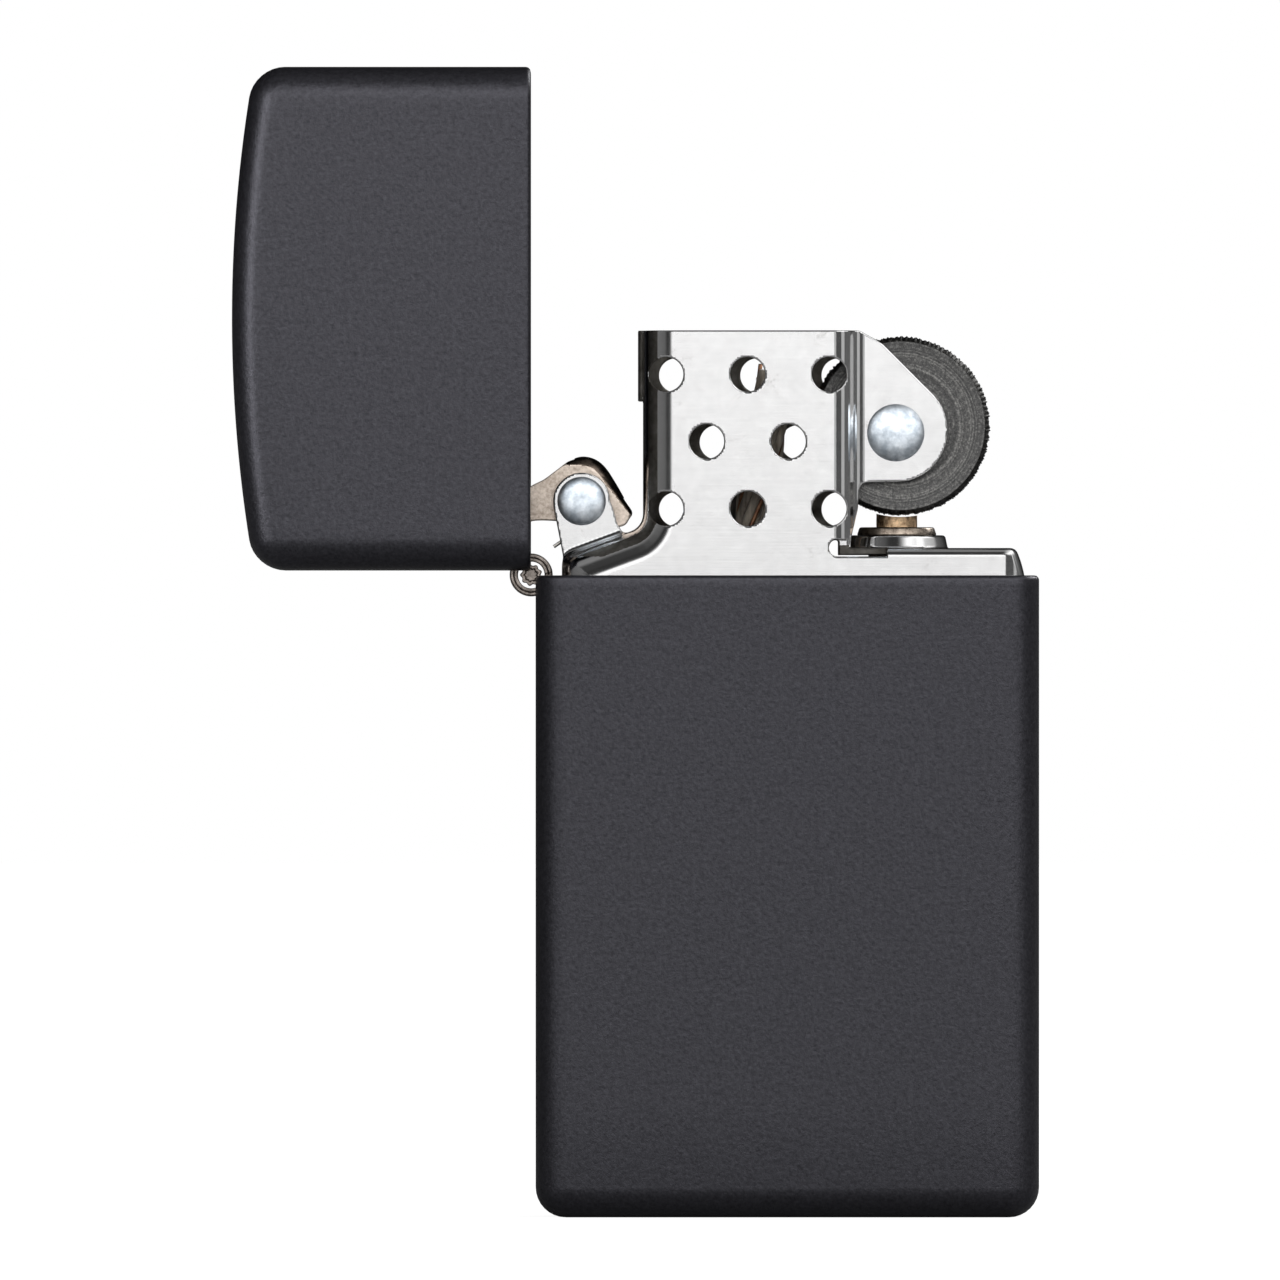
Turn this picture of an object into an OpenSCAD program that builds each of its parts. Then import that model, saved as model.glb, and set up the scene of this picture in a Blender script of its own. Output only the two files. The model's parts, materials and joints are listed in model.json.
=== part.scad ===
// Slim flip-top wick lighter, lid open at a right angle. Millimetres, +Z up, -Y is the front.
// The origin is the middle of the case's flat base.

/* [Case] */
// Width of the case and lid
case_w = 30; // [28:0.5:34]
// Depth of the case and lid, front to back
case_d = 10; // [9.5:0.1:12]
// Height of the lower case, base to rim
case_h = 38.25; // [34:0.25:44]
// Height of the lid, rim to the top of its crown
lid_h = 17.8; // [17.6:0.1:20]
// Thickness of the case and lid walls
case_wall = 0.6; // [0.5:0.05:0.7]
// Radius of the case's upright corners, in plan
case_corner_r = 1.9; // [1.4:0.1:2.4]
// Radius of the edges round the base and the crown
case_edge_r = 1.8; // [1.2:0.1:1.8]
// Radius of the lid's crown
crown_r = 85; // [60:5:150]

/* [Lid hinge] */
// How far the hinge axis stands outside the case's side
hinge_out = 0.27; // [0.2:0.01:0.35]
// Gap between the closed lid and the case
lid_gap = 0.06; // [0.04:0.01:0.1]
// Outer radius of the hinge barrel
barrel_r = 1.28; // [1.2:0.02:1.36]
// Radius of the hinge pin
pin_r = 0.68; // [0.5:0.02:0.74]
// Length of the hinge barrel, front to back
hinge_l = 6; // [5:0.1:6.2]
// Number of knuckles in the barrel
knuckles = 5; // [3:2:5]
// How far the lid stands open
open_deg = 90; // [90:1:100]

/* [Insert] */
// Depth of the insert, front to back
insert_d = 8.6; // [8.2:0.1:8.7]
// Thickness of the insert's sheet
sheet = 0.4; // [0.3:0.05:0.5]
// Height of the chimney's top edge above the base
chimney_z = 52.84; // [51:0.02:53.5]
// Radius of the air holes
hole_r = 1.08; // [0.9:0.02:1.2]
// Spacing of the air holes across the chimney
hole_dx = 4.86; // [4.4:0.02:4.9]
// Spacing of the rows of air holes
hole_dz = 4; // [3.4:0.1:4.1]

/* [Spark wheel] */
// Radius of the spark wheel over its teeth
wheel_r = 5.36; // [5:0.02:5.4]
// Width of the spark wheel
wheel_w = 5; // [4.6:0.1:5]
// Number of teeth round the wheel
wheel_teeth = 64; // [40:1:80]
// Radius of the wheel's rivet
wheel_axle_r = 0.75; // [0.6:0.05:0.85]

/* [Flint] */
// Radius of the flint
flint_r = 1.22; // [1.1:0.02:1.25]
// Length of the flint
flint_l = 5; // [2:0.5:6]
// Pitch of the flint screw's thread
screw_pitch = 0.5; // [0.4:0.05:0.6]

/* [Hidden] */
$fn = 64;

// Hinge axis
hinge_x = -case_w / 2 - hinge_out;
hinge_z = case_h + lid_gap / 2;
knuckle_l = hinge_l / knuckles;
knuckle_gap = 0.04;
pin_clearance = 0.04;
leaf_x = -case_w / 2 + case_wall;   // the leaves lie on the inside of the side walls
leaf_t = 0.45;
leaf_down = 4.6;                    // length of the case leaf below the axis
leaf_up = 2.9;                      // length of the lid leaf beyond the axis
notch_clearance = 0.1;

// Insert: its own left and right ends, off centre to leave room for the hinge
insert_x0 = leaf_x + 1.05;
insert_x1 = case_w / 2 - case_wall - 0.14;
insert_z0 = 1.3;
insert_corner_r = 1.4;
insert_y = insert_d / 2;
deck_z = case_h + 1.63;             // the flat deck under the wheel
deck_edge_r = 0.45;
end_slope = 22;                     // lean of the deck's right end, from upright
end_edge_r = 0.5;
shoulder_x = -8.6;                  // the raised shoulder under the cam ends at the chimney
shoulder_z0 = deck_z - 0.48;        // its top at the insert's left end
shoulder_slope = 20;
shoulder_r = 1.5;

// Chimney
chimney_x0 = -8.6;
chimney_corner_r = 2;
neck_x = 2.65;                      // where the walls start to close in on the wheel
neck_out_r = 1.22;
neck_in_r = 0.82;
ear_y = 3;                          // outer face of the wheel's ears
ear_end_x = 9.8;
ear_x = 6.5;
ear_z = 46.88;
ear_r = 3.1;
seam_tab_h = 4.2;
seam_tab_t = 0.3;
holes_x = -2.36;
holes_z = 46.22;
holes_back_dx = 0.6;
relief_r = 0.5;

// Spark wheel
// The wheel's bore is loose on its rivet, and the flint pushes the wheel up to here
wheel_x = 6.76;
wheel_z = 47.17;
axle_x = 6.46;
axle_z = 46.75;
tooth_depth = 0.14;
axle_clearance = 0.05;
wheel_bore_r = wheel_axle_r + norm([wheel_x - axle_x, wheel_z - axle_z]) + axle_clearance;
wheel_head_r = 1.71;
wheel_head_h = 0.62;

// Cam
cam_x = -12.26;
cam_z = 42.68;
cam_ear_y = 2.45;
cam_ear_r = 1.71;
cam_y = 1.95;                       // half the cam's width
cam_plate_t = 0.45;
cam_axle_r = 0.8;
cam_head_r = 1.45;
cam_slot_x1 = -9.45;                // the slot under the cam runs from the insert's left end to here
cam_slot_z0 = case_h + 0.35;
cam_spring_w = 2.2;
cam_spring_t = 0.2;
cam_spring_bow_r = 1.1;
cam_spring_turn_r = 0.9;
cam_spring_tip_l = 1.4;
cam_spring_slope = 35;
spring_foot_x = insert_x0 + sheet + cam_spring_t / 2;
spring_foot_z = 31;
spring_turn_z = 28;
spring_rivet_r = 0.48;

// Flint column, from the top down
flint_x = 6.54;
tube_in_r = 1.3;
tube_out_r = 1.7;
tube_z0 = 3;
boss_h = 0.77;
boss_top_r = 2.88;
boss_base_r = 3.05;
collar_r = 2.38;
collar_h = 0.45;
flint_clearance = 0.03;
flint_top = wheel_z - wheel_r - flint_clearance;
flint_z0 = flint_top - flint_l;
plunger_l = 2.2;
plunger_head_h = 0.8;
plunger_tail_r = 0.5;
spigot_r = 0.55;
spigot_l = 2;
screw_head_r = 2.1;
screw_head_h = 1.5;
screw_z0 = 1.4;
thread_l = 4.6;
spring_wire_r = 0.17;
spring_r = 0.95;
spring_z0 = screw_z0 + screw_head_h + thread_l;
spring_z1 = flint_z0 - plunger_head_h - 0.02;
spring_turns = 22;

// Wick, packing and felt
wick_x = -2.3;
wick_r = 1.25;
wick_z0 = 4;
wick_z1 = 50.6;
wire_r = 0.12;
wire_proud = 0.3;                   // how far the wires stand above the wick
wires = 4;
wick_clearance = 0.1;
felt_z0 = 1.5;
felt_h = 1.9;
ball_h = 6.4;
ball_gap = 0.25;
ball_side = 0.3;                    // room between the packing and the walls

// ---- shared shapes ----

module rounded_rect(w, d, r) {
    square([w - 2 * r, d], center = true);
    square([w, d - 2 * r], center = true);
    for (sx = [-1, 1], sy = [-1, 1])
        translate([sx * (w / 2 - r), sy * (d / 2 - r)]) circle(r);
}

// Places children so that +Y of a flat outline becomes +Z, between y0 and y1
module upright(y0, y1) {
    translate([0, y1, 0]) rotate([90, 0, 0]) linear_extrude(y1 - y0) children();
}

// Half of a can's section, from its axis out to r, with the floor's edge rounded
module can_half_section(r, h, edge_r) {
    translate([0, edge_r]) square([r, h - edge_r]);
    square([r - edge_r, h]);
    intersection() {
        translate([r - edge_r, edge_r]) circle(edge_r);
        square([r, h]);
    }
}

module can_section(w, h, edge_r) {
    translate([-w / 2, edge_r]) square([w, h - edge_r]);
    translate([-w / 2 + edge_r, 0]) square([w - 2 * edge_r, h]);
    for (s = [-1, 1]) translate([s * (w / 2 - edge_r), edge_r]) circle(edge_r);
}

// A solid can standing on z = 0, with round upright corners and a round edge at its floor
module round_can(w, d, h, corner_r, edge_r) {
    for (sx = [-1, 1], sy = [-1, 1])
        translate([sx * (w / 2 - corner_r), sy * (d / 2 - corner_r), 0])
            rotate_extrude() can_half_section(corner_r, h, edge_r);
    rotate([90, 0, 90]) linear_extrude(w - 2 * corner_r, center = true) can_section(d, h, edge_r);
    rotate([90, 0, 0]) linear_extrude(d - 2 * corner_r, center = true) can_section(w, h, edge_r);
}

// The lid as a solid, rim on z = 0, top crowned about a level axis
module crowned_block(w, d, h, corner_r, edge_r, crown) {
    corner_x = w / 2 - edge_r;
    corner_z = h - crown + sqrt(pow(crown - edge_r, 2) - pow(corner_x, 2));
    tangent_x = corner_x * crown / (crown - edge_r);
    intersection() {
        linear_extrude(h + 1) rounded_rect(w, d, corner_r);
        translate([0, 0, h - crown]) rotate([90, 0, 0]) rotate_extrude() {
            translate([0, -d / 2]) square([crown - edge_r, d]);
            translate([0, -d / 2 + edge_r]) square([crown, d - 2 * edge_r]);
            for (s = [-1, 1]) translate([crown - edge_r, s * (d / 2 - edge_r)]) circle(edge_r);
        }
        upright(-d, d) {
            intersection() {
                translate([0, h - crown]) circle(crown);
                translate([-tangent_x, 0]) square([2 * tangent_x, h + 1]);
            }
            translate([-w / 2, 0]) square([w, corner_z]);
            for (s = [-1, 1]) translate([s * corner_x, corner_z]) circle(edge_r);
        }
    }
}

// A cylinder along Y between two values of y
module rod_y(x, z, r, y0, y1) {
    translate([x, y1, z]) rotate([90, 0, 0]) cylinder(r = r, h = y1 - y0);
}

// A domed rivet head whose flat side is on y = y0, facing -Y
module dome_y(x, z, r, h, y0) {
    ball_r = (r * r + h * h) / (2 * h);
    intersection() {
        translate([x, y0 - h + ball_r, z]) sphere(ball_r);
        rod_y(x, z, r, y0 - h, y0);
    }
}

module rivet(x, z, shaft_r, head_r, head_h, half_l) {
    rod_y(x, z, shaft_r, -half_l, half_l);
    dome_y(x, z, head_r, head_h, -half_l);
    mirror([0, 1, 0]) dome_y(x, z, head_r, head_h, -half_l);
}

// Turns children from the closed lid's place to the open lid's place
module lid_place() {
    translate([hinge_x, 0, hinge_z]) rotate([0, -open_deg, 0]) translate([-hinge_x, 0, -hinge_z])
        children();
}

// ---- case, lid and hinge ----

// Room for the barrel in a side wall, over the hinge's own length
module barrel_notch() {
    half = hinge_l / 2 + notch_clearance;
    reach = barrel_r + notch_clearance;
    translate([hinge_x - reach, -half, hinge_z - reach])
        cube([leaf_x - hinge_x + reach + 0.01, 2 * half, 2 * reach]);
}

module case_bottom() {
    color("#3e3e43") difference() {
        round_can(case_w, case_d, case_h, case_corner_r, case_edge_r);
        translate([0, 0, case_wall])
            round_can(case_w - 2 * case_wall, case_d - 2 * case_wall, case_h,
                case_corner_r - case_wall, case_edge_r - case_wall);
        barrel_notch();
    }
}

module case_lid() {
    color("#45454a") lid_place() difference() {
        translate([0, 0, case_h + lid_gap])
            crowned_block(case_w, case_d, lid_h, case_corner_r, case_edge_r, crown_r);
        translate([0, 0, case_h + lid_gap - 0.01])
            crowned_block(case_w - 2 * case_wall, case_d - 2 * case_wall,
                lid_h - case_wall + 0.01, case_corner_r - case_wall, case_edge_r - case_wall,
                crown_r - case_wall);
        barrel_notch();
    }
}

// A hinge leaf standing up from the axis (up = 1) or hanging from it (up = -1), with every
// second knuckle, starting at the knuckle whose index is first
module hinge_leaf(up, first, reach) {
    clear = barrel_r + notch_clearance;
    difference() {
        union() {
            translate([leaf_x, -hinge_l / 2, up > 0 ? hinge_z + clear : hinge_z - reach])
                cube([leaf_t, hinge_l, reach - clear]);
            for (i = [first:2:knuckles - 1]) {
                y0 = -hinge_l / 2 + i * knuckle_l + (i > 0 ? knuckle_gap : 0);
                y1 = -hinge_l / 2 + (i + 1) * knuckle_l - (i < knuckles - 1 ? knuckle_gap : 0);
                rod_y(hinge_x, hinge_z, barrel_r, y0, y1);
                translate([leaf_x, y0, up > 0 ? hinge_z : hinge_z - clear - 0.2])
                    cube([leaf_t, y1 - y0, clear + 0.2]);
            }
        }
        rod_y(hinge_x, hinge_z, pin_r + pin_clearance, -hinge_l, hinge_l);
    }
}

module hinge_leaf_case() {
    color("#b9b3ab") hinge_leaf(-1, 0, leaf_down);
}

module hinge_leaf_lid() {
    color("#b9b3ab") lid_place() hinge_leaf(1, 1, leaf_up);
}

module hinge_pin() {
    color("#8d867c") rod_y(hinge_x, hinge_z, pin_r, -hinge_l / 2 + 0.05, hinge_l / 2 - 0.05);
}

// ---- insert ----

module insert_plan(inset) {
    translate([(insert_x0 + insert_x1) / 2, 0])
        rounded_rect(insert_x1 - insert_x0 - 2 * inset, insert_d - 2 * inset, insert_corner_r - inset);
}

// The container's top seen from the front: a flat deck whose right end leans in above the rim
module deck_front(inset, z0) {
    top = deck_z - inset;
    x1 = insert_x1 - inset;
    along = (top - end_edge_r - case_h + end_edge_r * sin(end_slope)) / cos(end_slope);
    bend = [x1 - end_edge_r * cos(end_slope) - along * sin(end_slope), top - end_edge_r];
    polygon([[insert_x0 + inset, z0], [x1, z0], [x1, case_h],
        bend + end_edge_r * [cos(end_slope), sin(end_slope)], bend, [bend[0], top],
        [insert_x0 + inset, top]]);
    translate(bend) circle(end_edge_r);
}

// The container's section across its depth, its upper edges round
module deck_side(inset, z0) {
    y = insert_y - inset;
    top = deck_z - inset;
    translate([-y, z0]) square([2 * y, top - deck_edge_r - z0]);
    translate([-y + deck_edge_r, z0]) square([2 * (y - deck_edge_r), top - z0]);
    for (s = [-1, 1]) translate([s * (y - deck_edge_r), top - deck_edge_r]) circle(deck_edge_r);
}

// The insert's container as a solid, drawn in by inset; the cavity runs on through its open floor
module container(inset) {
    z0 = inset > 0 ? insert_z0 - 1 : insert_z0;
    intersection() {
        translate([0, 0, z0]) linear_extrude(deck_z - z0) insert_plan(inset);
        upright(-insert_d, insert_d) deck_front(inset, z0);
        translate([insert_x0 - 1, 0, 0]) rotate([90, 0, 90]) linear_extrude(case_w) deck_side(inset, z0);
    }
    shoulder(inset);
}

// The shoulder that carries the cam's ears: it climbs towards the chimney and its edges are round
module shoulder(inset) {
    l = (shoulder_x - insert_x0 + 2) / cos(shoulder_slope);
    intersection() {
        translate([0, 0, case_h - 3]) linear_extrude(8) intersection() {
            insert_plan(inset);
            translate([insert_x0 - 1, -case_d]) square([shoulder_x + sheet - insert_x0 + 1, 2 * case_d]);
        }
        translate([insert_x0, 0, shoulder_z0]) rotate([0, -shoulder_slope, 0])
            translate([-1, 0, -4]) rotate([90, 0, 90]) linear_extrude(l)
                translate([0, -inset]) {
                    square([2 * (insert_y - shoulder_r), 8], center = true);
                    translate([0, -shoulder_r / 2]) square([insert_d + 1, 8 - shoulder_r], center = true);
                    for (s = [-1, 1]) translate([s * (insert_y - shoulder_r), 4 - shoulder_r])
                        circle(shoulder_r - inset / 2);
                }
    }
}

// The chimney's plan, drawn in by inset: a round-cornered box whose walls close in to the ears
module chimney_plan(inset, end_x) {
    y = insert_y - inset;
    r = chimney_corner_r - inset;
    x0 = chimney_x0 + inset;
    out_r = neck_out_r - inset;
    in_r = neck_in_r + inset;
    narrow = ear_y - inset;
    dx = sqrt(pow(out_r + in_r, 2) - pow(out_r + in_r - (y - narrow), 2));
    turn = asin(dx / (out_r + in_r));
    bend = [neck_x + out_r * sin(turn), y - out_r + out_r * cos(turn)];
    translate([x0, -y + r]) square([neck_x - x0, 2 * (y - r)]);
    translate([x0 + r, -y]) square([neck_x - x0 - r, 2 * y]);
    translate([x0, -narrow]) square([end_x - x0, 2 * narrow]);
    for (s = [-1, 1]) scale([1, s]) {
        translate([x0 + r, y - r]) circle(r);
        difference() {
            union() {
                translate([neck_x, y - out_r]) circle(out_r);
                polygon([[neck_x - 0.5, 0], [neck_x - 0.5, y - out_r], [neck_x, y - out_r], bend,
                    [neck_x + dx, narrow], [neck_x + dx, 0]]);
            }
            translate([neck_x + dx, narrow + in_r]) circle(in_r);
        }
    }
}

// The chimney and wheel ears seen from the front
module chimney_front() {
    polygon([[chimney_x0 - 1, deck_z - 1], [chimney_x0 - 1, chimney_z], [4.15, chimney_z],
        [5.35, 52.2], [8.7, 49.02], [ear_x, ear_z], [ear_x, 43.78], [4.4, 43.72],
        [4.2, 42.2], [3.8, 40.9], [3.7, deck_z - 1]]);
    translate([ear_x, ear_z]) circle(ear_r);
}

module chimney_walls() {
    intersection() {
        translate([0, 0, deck_z - 1]) linear_extrude(chimney_z - deck_z + 1) difference() {
            chimney_plan(0, ear_end_x);
            chimney_plan(sheet, ear_end_x + 1);
        }
        upright(-case_d, case_d) chimney_front();
    }
    // the lapped seam at the chimney's closed end
    translate([chimney_x0 - seam_tab_t, -insert_y + chimney_corner_r, chimney_z - seam_tab_h])
        cube([seam_tab_t + 0.1, 2 * (insert_y - chimney_corner_r), seam_tab_h]);
}

module cam_ear_front() {
    polygon([[insert_x0, shoulder_z0 - 1], [insert_x0, shoulder_z0 + 0.1], [cam_x - cam_ear_r, cam_z - 0.3],
        [cam_x, cam_z], [cam_x + cam_ear_r, cam_z + 0.2], [-10.15, 41.3], [-9.8, 40.7],
        [-9.7, shoulder_z0 - 1]]);
    translate([cam_x, cam_z]) circle(cam_ear_r);
}

// Rows of three, two and three holes through both long walls; those in the back wall sit further right
module air_holes() {
    for (row = [-1:1]) {
        n = row == 0 ? 2 : 3;
        for (i = [0:n - 1]) {
            x = holes_x + (i - (n - 1) / 2) * hole_dx;
            z = holes_z + row * hole_dz;
            rod_y(x, z, hole_r, -case_d, 0);
            rod_y(x + holes_back_dx, z, hole_r, 0, case_d);
        }
    }
}

// The cuts in both long walls that free the neck of the chimney from the deck
module relief_slots() {
    for (s = [-1, 1]) scale([1, s, 1]) upright(insert_y - sheet, insert_y + 1) {
        translate([2.97, deck_z]) circle(relief_r);
        translate([2.97, deck_z - relief_r]) square([2.95, 2 * relief_r]);
    }
}

module insert_shell() {
    color("#d9d9d9") difference() {
        union() {
            difference() {
                container(0);
                container(sheet);
            }
            chimney_walls();
            for (s = [-1, 1]) scale([1, s, 1]) upright(cam_ear_y - sheet, cam_ear_y) cam_ear_front();
            translate([flint_x, 0, deck_z]) cylinder(r1 = boss_base_r, r2 = boss_top_r, h = boss_h);
        }
        // the chimney's mouth into the container
        translate([0, 0, case_h - 2]) linear_extrude(chimney_z) intersection() {
            chimney_plan(sheet, neck_x);
            translate([chimney_x0, -case_d]) square([neck_x - chimney_x0, 2 * case_d]);
        }
        // the slot under the cam, open at the insert's left end
        translate([insert_x0 - 1, -cam_ear_y + sheet, cam_slot_z0])
            cube([cam_slot_x1 - insert_x0 + 1, 2 * (cam_ear_y - sheet), 4]);
        translate([flint_x, 0, deck_z - 1]) cylinder(r = tube_out_r, h = boss_h + 2);
        rod_y(axle_x, axle_z, wheel_axle_r, -case_d, case_d);
        rod_y(cam_x, cam_z, cam_axle_r, -case_d, case_d);
        air_holes();
        relief_slots();
        spring_rivet_hole();
    }
}

// ---- cam ----

// The cam's outline in its own place, lid open: hump over the rivet, arm into the lid, heel at the right
module cam_front(inset) {
    translate([cam_x, cam_z]) {
        translate([0, 0.65]) circle(2.02 - inset);
        polygon([[-1.3, 2.05 - inset], [-1.9, 1.55 - inset], [-2.95, 0.98 - inset], [-3.8, 0.35 - inset],
            [-4.2 + inset, -0.6], [-4.15 + inset, -1.4], [-3.9, -1.85 + inset], [-3.6, -1.75 + inset],
            [-3.1, -1.18 + inset], [-1.2, -1.18 + inset], [-0.4, -1.5 + inset], [1, -1.58 + inset],
            [2.3, -1.58 + inset], [3.02 - inset, -0.72], [3 - inset, -0.5], [1.55 - inset, 1.95]]);
    }
}

module cam() {
    color("#cfbcab") difference() {
        upright(-cam_y, cam_y) cam_front(0);
        // hollow between the two cheeks, open below and to the left of the web
        upright(-cam_y + cam_plate_t, cam_y - cam_plate_t) difference() {
            union() {
                cam_front(0.5);
                translate([cam_x - 5, cam_z - 4]) square([7.4, 4]);
                translate([cam_x - 5, cam_z - 4]) square([4, 5]);
            }
            translate([cam_x + 1.9, cam_z - 4]) square([2, 6]);
        }
        rod_y(cam_x, cam_z, cam_axle_r + axle_clearance, -case_d, case_d);
    }
}

module cam_rivet() {
    color("#b4babd") rivet(cam_x, cam_z, cam_axle_r, cam_head_r, 0.6, cam_ear_y);
}

// n + 1 points on an arc about c, from angle a0 to a1
function arc(c, r, a0, a1, n) =
    [for (i = [0:n]) let (a = a0 + (a1 - a0) * i / n) c + r * [cos(a), sin(a)]];

module spring_rivet_hole() {
    translate([insert_x0 - 1, 0, spring_foot_z]) rotate([0, 90, 0]) cylinder(r = spring_rivet_r, h = 2.4);
}

// A bent strip: foot on the end wall, a turn inside the container, a bow under the cam and a free tip
module cam_spring() {
    h = cam_spring_t / 2;
    slope = cam_spring_slope;
    turn = [spring_foot_x + cam_spring_turn_r, spring_turn_z];
    bow = [turn[0] + cam_spring_turn_r - cam_spring_bow_r, cam_z - 1.72 - cam_spring_bow_r];
    over = arc(bow, cam_spring_bow_r + h, 90 + slope, 0, 10);
    under = arc(bow, cam_spring_bow_r - h, 0, 90 + slope, 10);
    tip = over[0] - cam_spring_tip_l * [cos(slope), sin(slope)];
    color("#c9c2b4") difference() {
        upright(-cam_spring_w / 2, cam_spring_w / 2)
            polygon(concat([tip], over, arc(turn, cam_spring_turn_r + h, 0, -180, 10),
                [[spring_foot_x - h, spring_foot_z + 1], [spring_foot_x + h, spring_foot_z + 1]],
                arc(turn, cam_spring_turn_r - h, -180, 0, 10), under,
                [tip + 2 * h * [sin(slope), -cos(slope)]]));
        spring_rivet_hole();
    }
}

module cam_spring_rivet() {
    grip = sheet + cam_spring_t;
    head_h = 0.25;
    color("#b4babd") translate([insert_x0 - head_h, 0, spring_foot_z]) rotate([0, 90, 0]) {
        cylinder(r = 0.9, h = head_h);
        cylinder(r = spring_rivet_r, h = grip + 2 * head_h);
        translate([0, 0, head_h + grip]) cylinder(r = 0.85, h = head_h);
    }
}

// ---- spark wheel ----

module flint_wheel() {
    step = 360 / wheel_teeth;
    color("#4a4a4a") difference() {
        upright(-wheel_w / 2, wheel_w / 2) translate([wheel_x, wheel_z])
            polygon([for (i = [0:wheel_teeth - 1], t = [[0, 0], [0.7, 1]])
                (wheel_r - tooth_depth * t[1]) * [cos((i + t[0]) * step), sin((i + t[0]) * step)]]);
        rod_y(wheel_x, wheel_z, wheel_bore_r, -case_d, case_d);
    }
}

module wheel_rivet() {
    color("#b4babd") rivet(axle_x, axle_z, wheel_axle_r, wheel_head_r, wheel_head_h, ear_y);
}

// ---- flint column ----

module flint_tube() {
    color("#c8a45c") translate([flint_x, 0, 0]) difference() {
        union() {
            translate([0, 0, tube_z0]) cylinder(r = tube_out_r, h = deck_z + boss_h - tube_z0);
            translate([0, 0, deck_z + boss_h]) cylinder(r1 = collar_r, r2 = collar_r - 0.15, h = collar_h);
        }
        cylinder(r = tube_in_r, h = chimney_z);
    }
}

module flint() {
    color("#8a6a45") difference() {
        translate([flint_x, 0, flint_z0]) cylinder(r = flint_r, h = flint_l + 0.3);
        rod_y(wheel_x, wheel_z, wheel_r + flint_clearance, -case_d, case_d);
    }
}

module flint_plunger() {
    color("#c8a45c") translate([flint_x, 0, flint_z0 - plunger_l]) {
        translate([0, 0, plunger_l - plunger_head_h]) cylinder(r = tube_in_r - 0.1, h = plunger_head_h);
        cylinder(r = plunger_tail_r, h = plunger_l);
    }
}

// A round-wire coil: each ring of points is a section of the wire, set square to the helix
module coil(coil_r, wire_r, z0, z1, turns) {
    steps = turns * 14;
    sides = 6;
    rise = (z1 - z0 - 2 * wire_r) / (turns * 360);
    points = [for (i = [0:steps], k = [0:sides - 1])
        let (a = i * 360 * turns / steps, b = k * 360 / sides, r = coil_r + wire_r * cos(b))
        [r * cos(a), r * sin(a), z0 + wire_r + rise * a + wire_r * sin(b)]];
    faces = concat(
        [[for (k = [0:sides - 1]) k]],
        [for (i = [0:steps - 1], k = [0:sides - 1])
            let (a = i * sides, b = a + sides, n = (k + 1) % sides) [a + k, b + k, b + n, a + n]],
        [[for (k = [sides - 1:-1:0]) steps * sides + k]]);
    polyhedron(points, faces, convexity = 10);
}

module flint_spring() {
    color("#9a9da0") translate([flint_x, 0, 0])
        coil(spring_r, spring_wire_r, spring_z0, spring_z1, spring_turns);
}

module flint_screw() {
    thread_depth = 0.25;
    rings = 8;
    slot_w = 0.7;
    slot_depth = 0.7;
    color("#c8a45c") translate([flint_x, 0, screw_z0]) difference() {
        union() {
            cylinder(r = screw_head_r, h = screw_head_h);
            cylinder(r = tube_in_r - axle_clearance, h = screw_head_h + thread_l);
            cylinder(r = spigot_r, h = screw_head_h + thread_l + spigot_l);
        }
        translate([-screw_head_r - 1, -slot_w / 2, -1])
            cube([2 * screw_head_r + 2, slot_w, 1 + slot_depth]);
        // the thread, as rings at its pitch
        for (i = [0:rings - 1]) translate([0, 0, screw_head_h + (i + 0.5) * screw_pitch]) difference() {
            cylinder(r = tube_in_r, h = screw_pitch / 2);
            cylinder(r = tube_in_r - thread_depth, h = screw_pitch);
        }
    }
}

// ---- wick, packing, felt ----

// Where each copper wire runs up the wick's side
module at_wires() {
    for (i = [0:wires - 1]) translate([wick_x, 0, wick_z0]) rotate([0, 0, 45 + i * 360 / wires])
        translate([wick_r - wire_r / 2, 0, 0]) children();
}

module wick() {
    color("#cfc6b4") difference() {
        translate([wick_x, 0, wick_z0]) cylinder(r = wick_r, h = wick_z1 - wick_z0);
        translate([0, 0, -1]) at_wires() cylinder(r = wire_r, h = wick_z1);
    }
}

module wick_wires() {
    color("#b87346") at_wires() cylinder(r = wire_r, h = wick_z1 - wick_z0 + wire_proud);
}

// One pad of packing, numbered from the bottom; those beside the cam spring are narrower
module packing_ball(i) {
    z0 = felt_z0 + felt_h + ball_gap + (i - 1) * (ball_h + ball_gap);
    by_spring = z0 + ball_h > spring_turn_z - 2;
    x0 = by_spring ? spring_foot_x + 2 * cam_spring_turn_r + 0.5 : insert_x0 + sheet + ball_side;
    x1 = flint_x - tube_out_r - ball_side;
    color("#efece2") translate([0, 0, z0]) difference() {
        translate([(x0 + x1) / 2, 0]) linear_extrude(ball_h)
            rounded_rect(x1 - x0, insert_d - 2 * (sheet + ball_side), 2.4);
        translate([wick_x, 0, -1]) cylinder(r = wick_r + wick_clearance, h = ball_h + 2);
    }
}

module felt_pad() {
    color("#d8d2c0") translate([0, 0, felt_z0]) difference() {
        linear_extrude(felt_h) insert_plan(sheet + 0.1);
        translate([flint_x, 0, -1]) cylinder(r = screw_head_r + 0.2, h = felt_h + 2);
    }
}

case_bottom();
hinge_leaf_case();
hinge_pin();
case_lid();
hinge_leaf_lid();
insert_shell();
cam();
cam_rivet();
cam_spring();
cam_spring_rivet();
flint_wheel();
wheel_rivet();
flint_tube();
flint();
flint_plunger();
flint_spring();
flint_screw();
wick();
wick_wires();
packing_ball(1);  // packing_ball_1
packing_ball(2);  // packing_ball_2
packing_ball(3);  // packing_ball_3
packing_ball(4);  // packing_ball_4
packing_ball(5);  // packing_ball_5
felt_pad();
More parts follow.
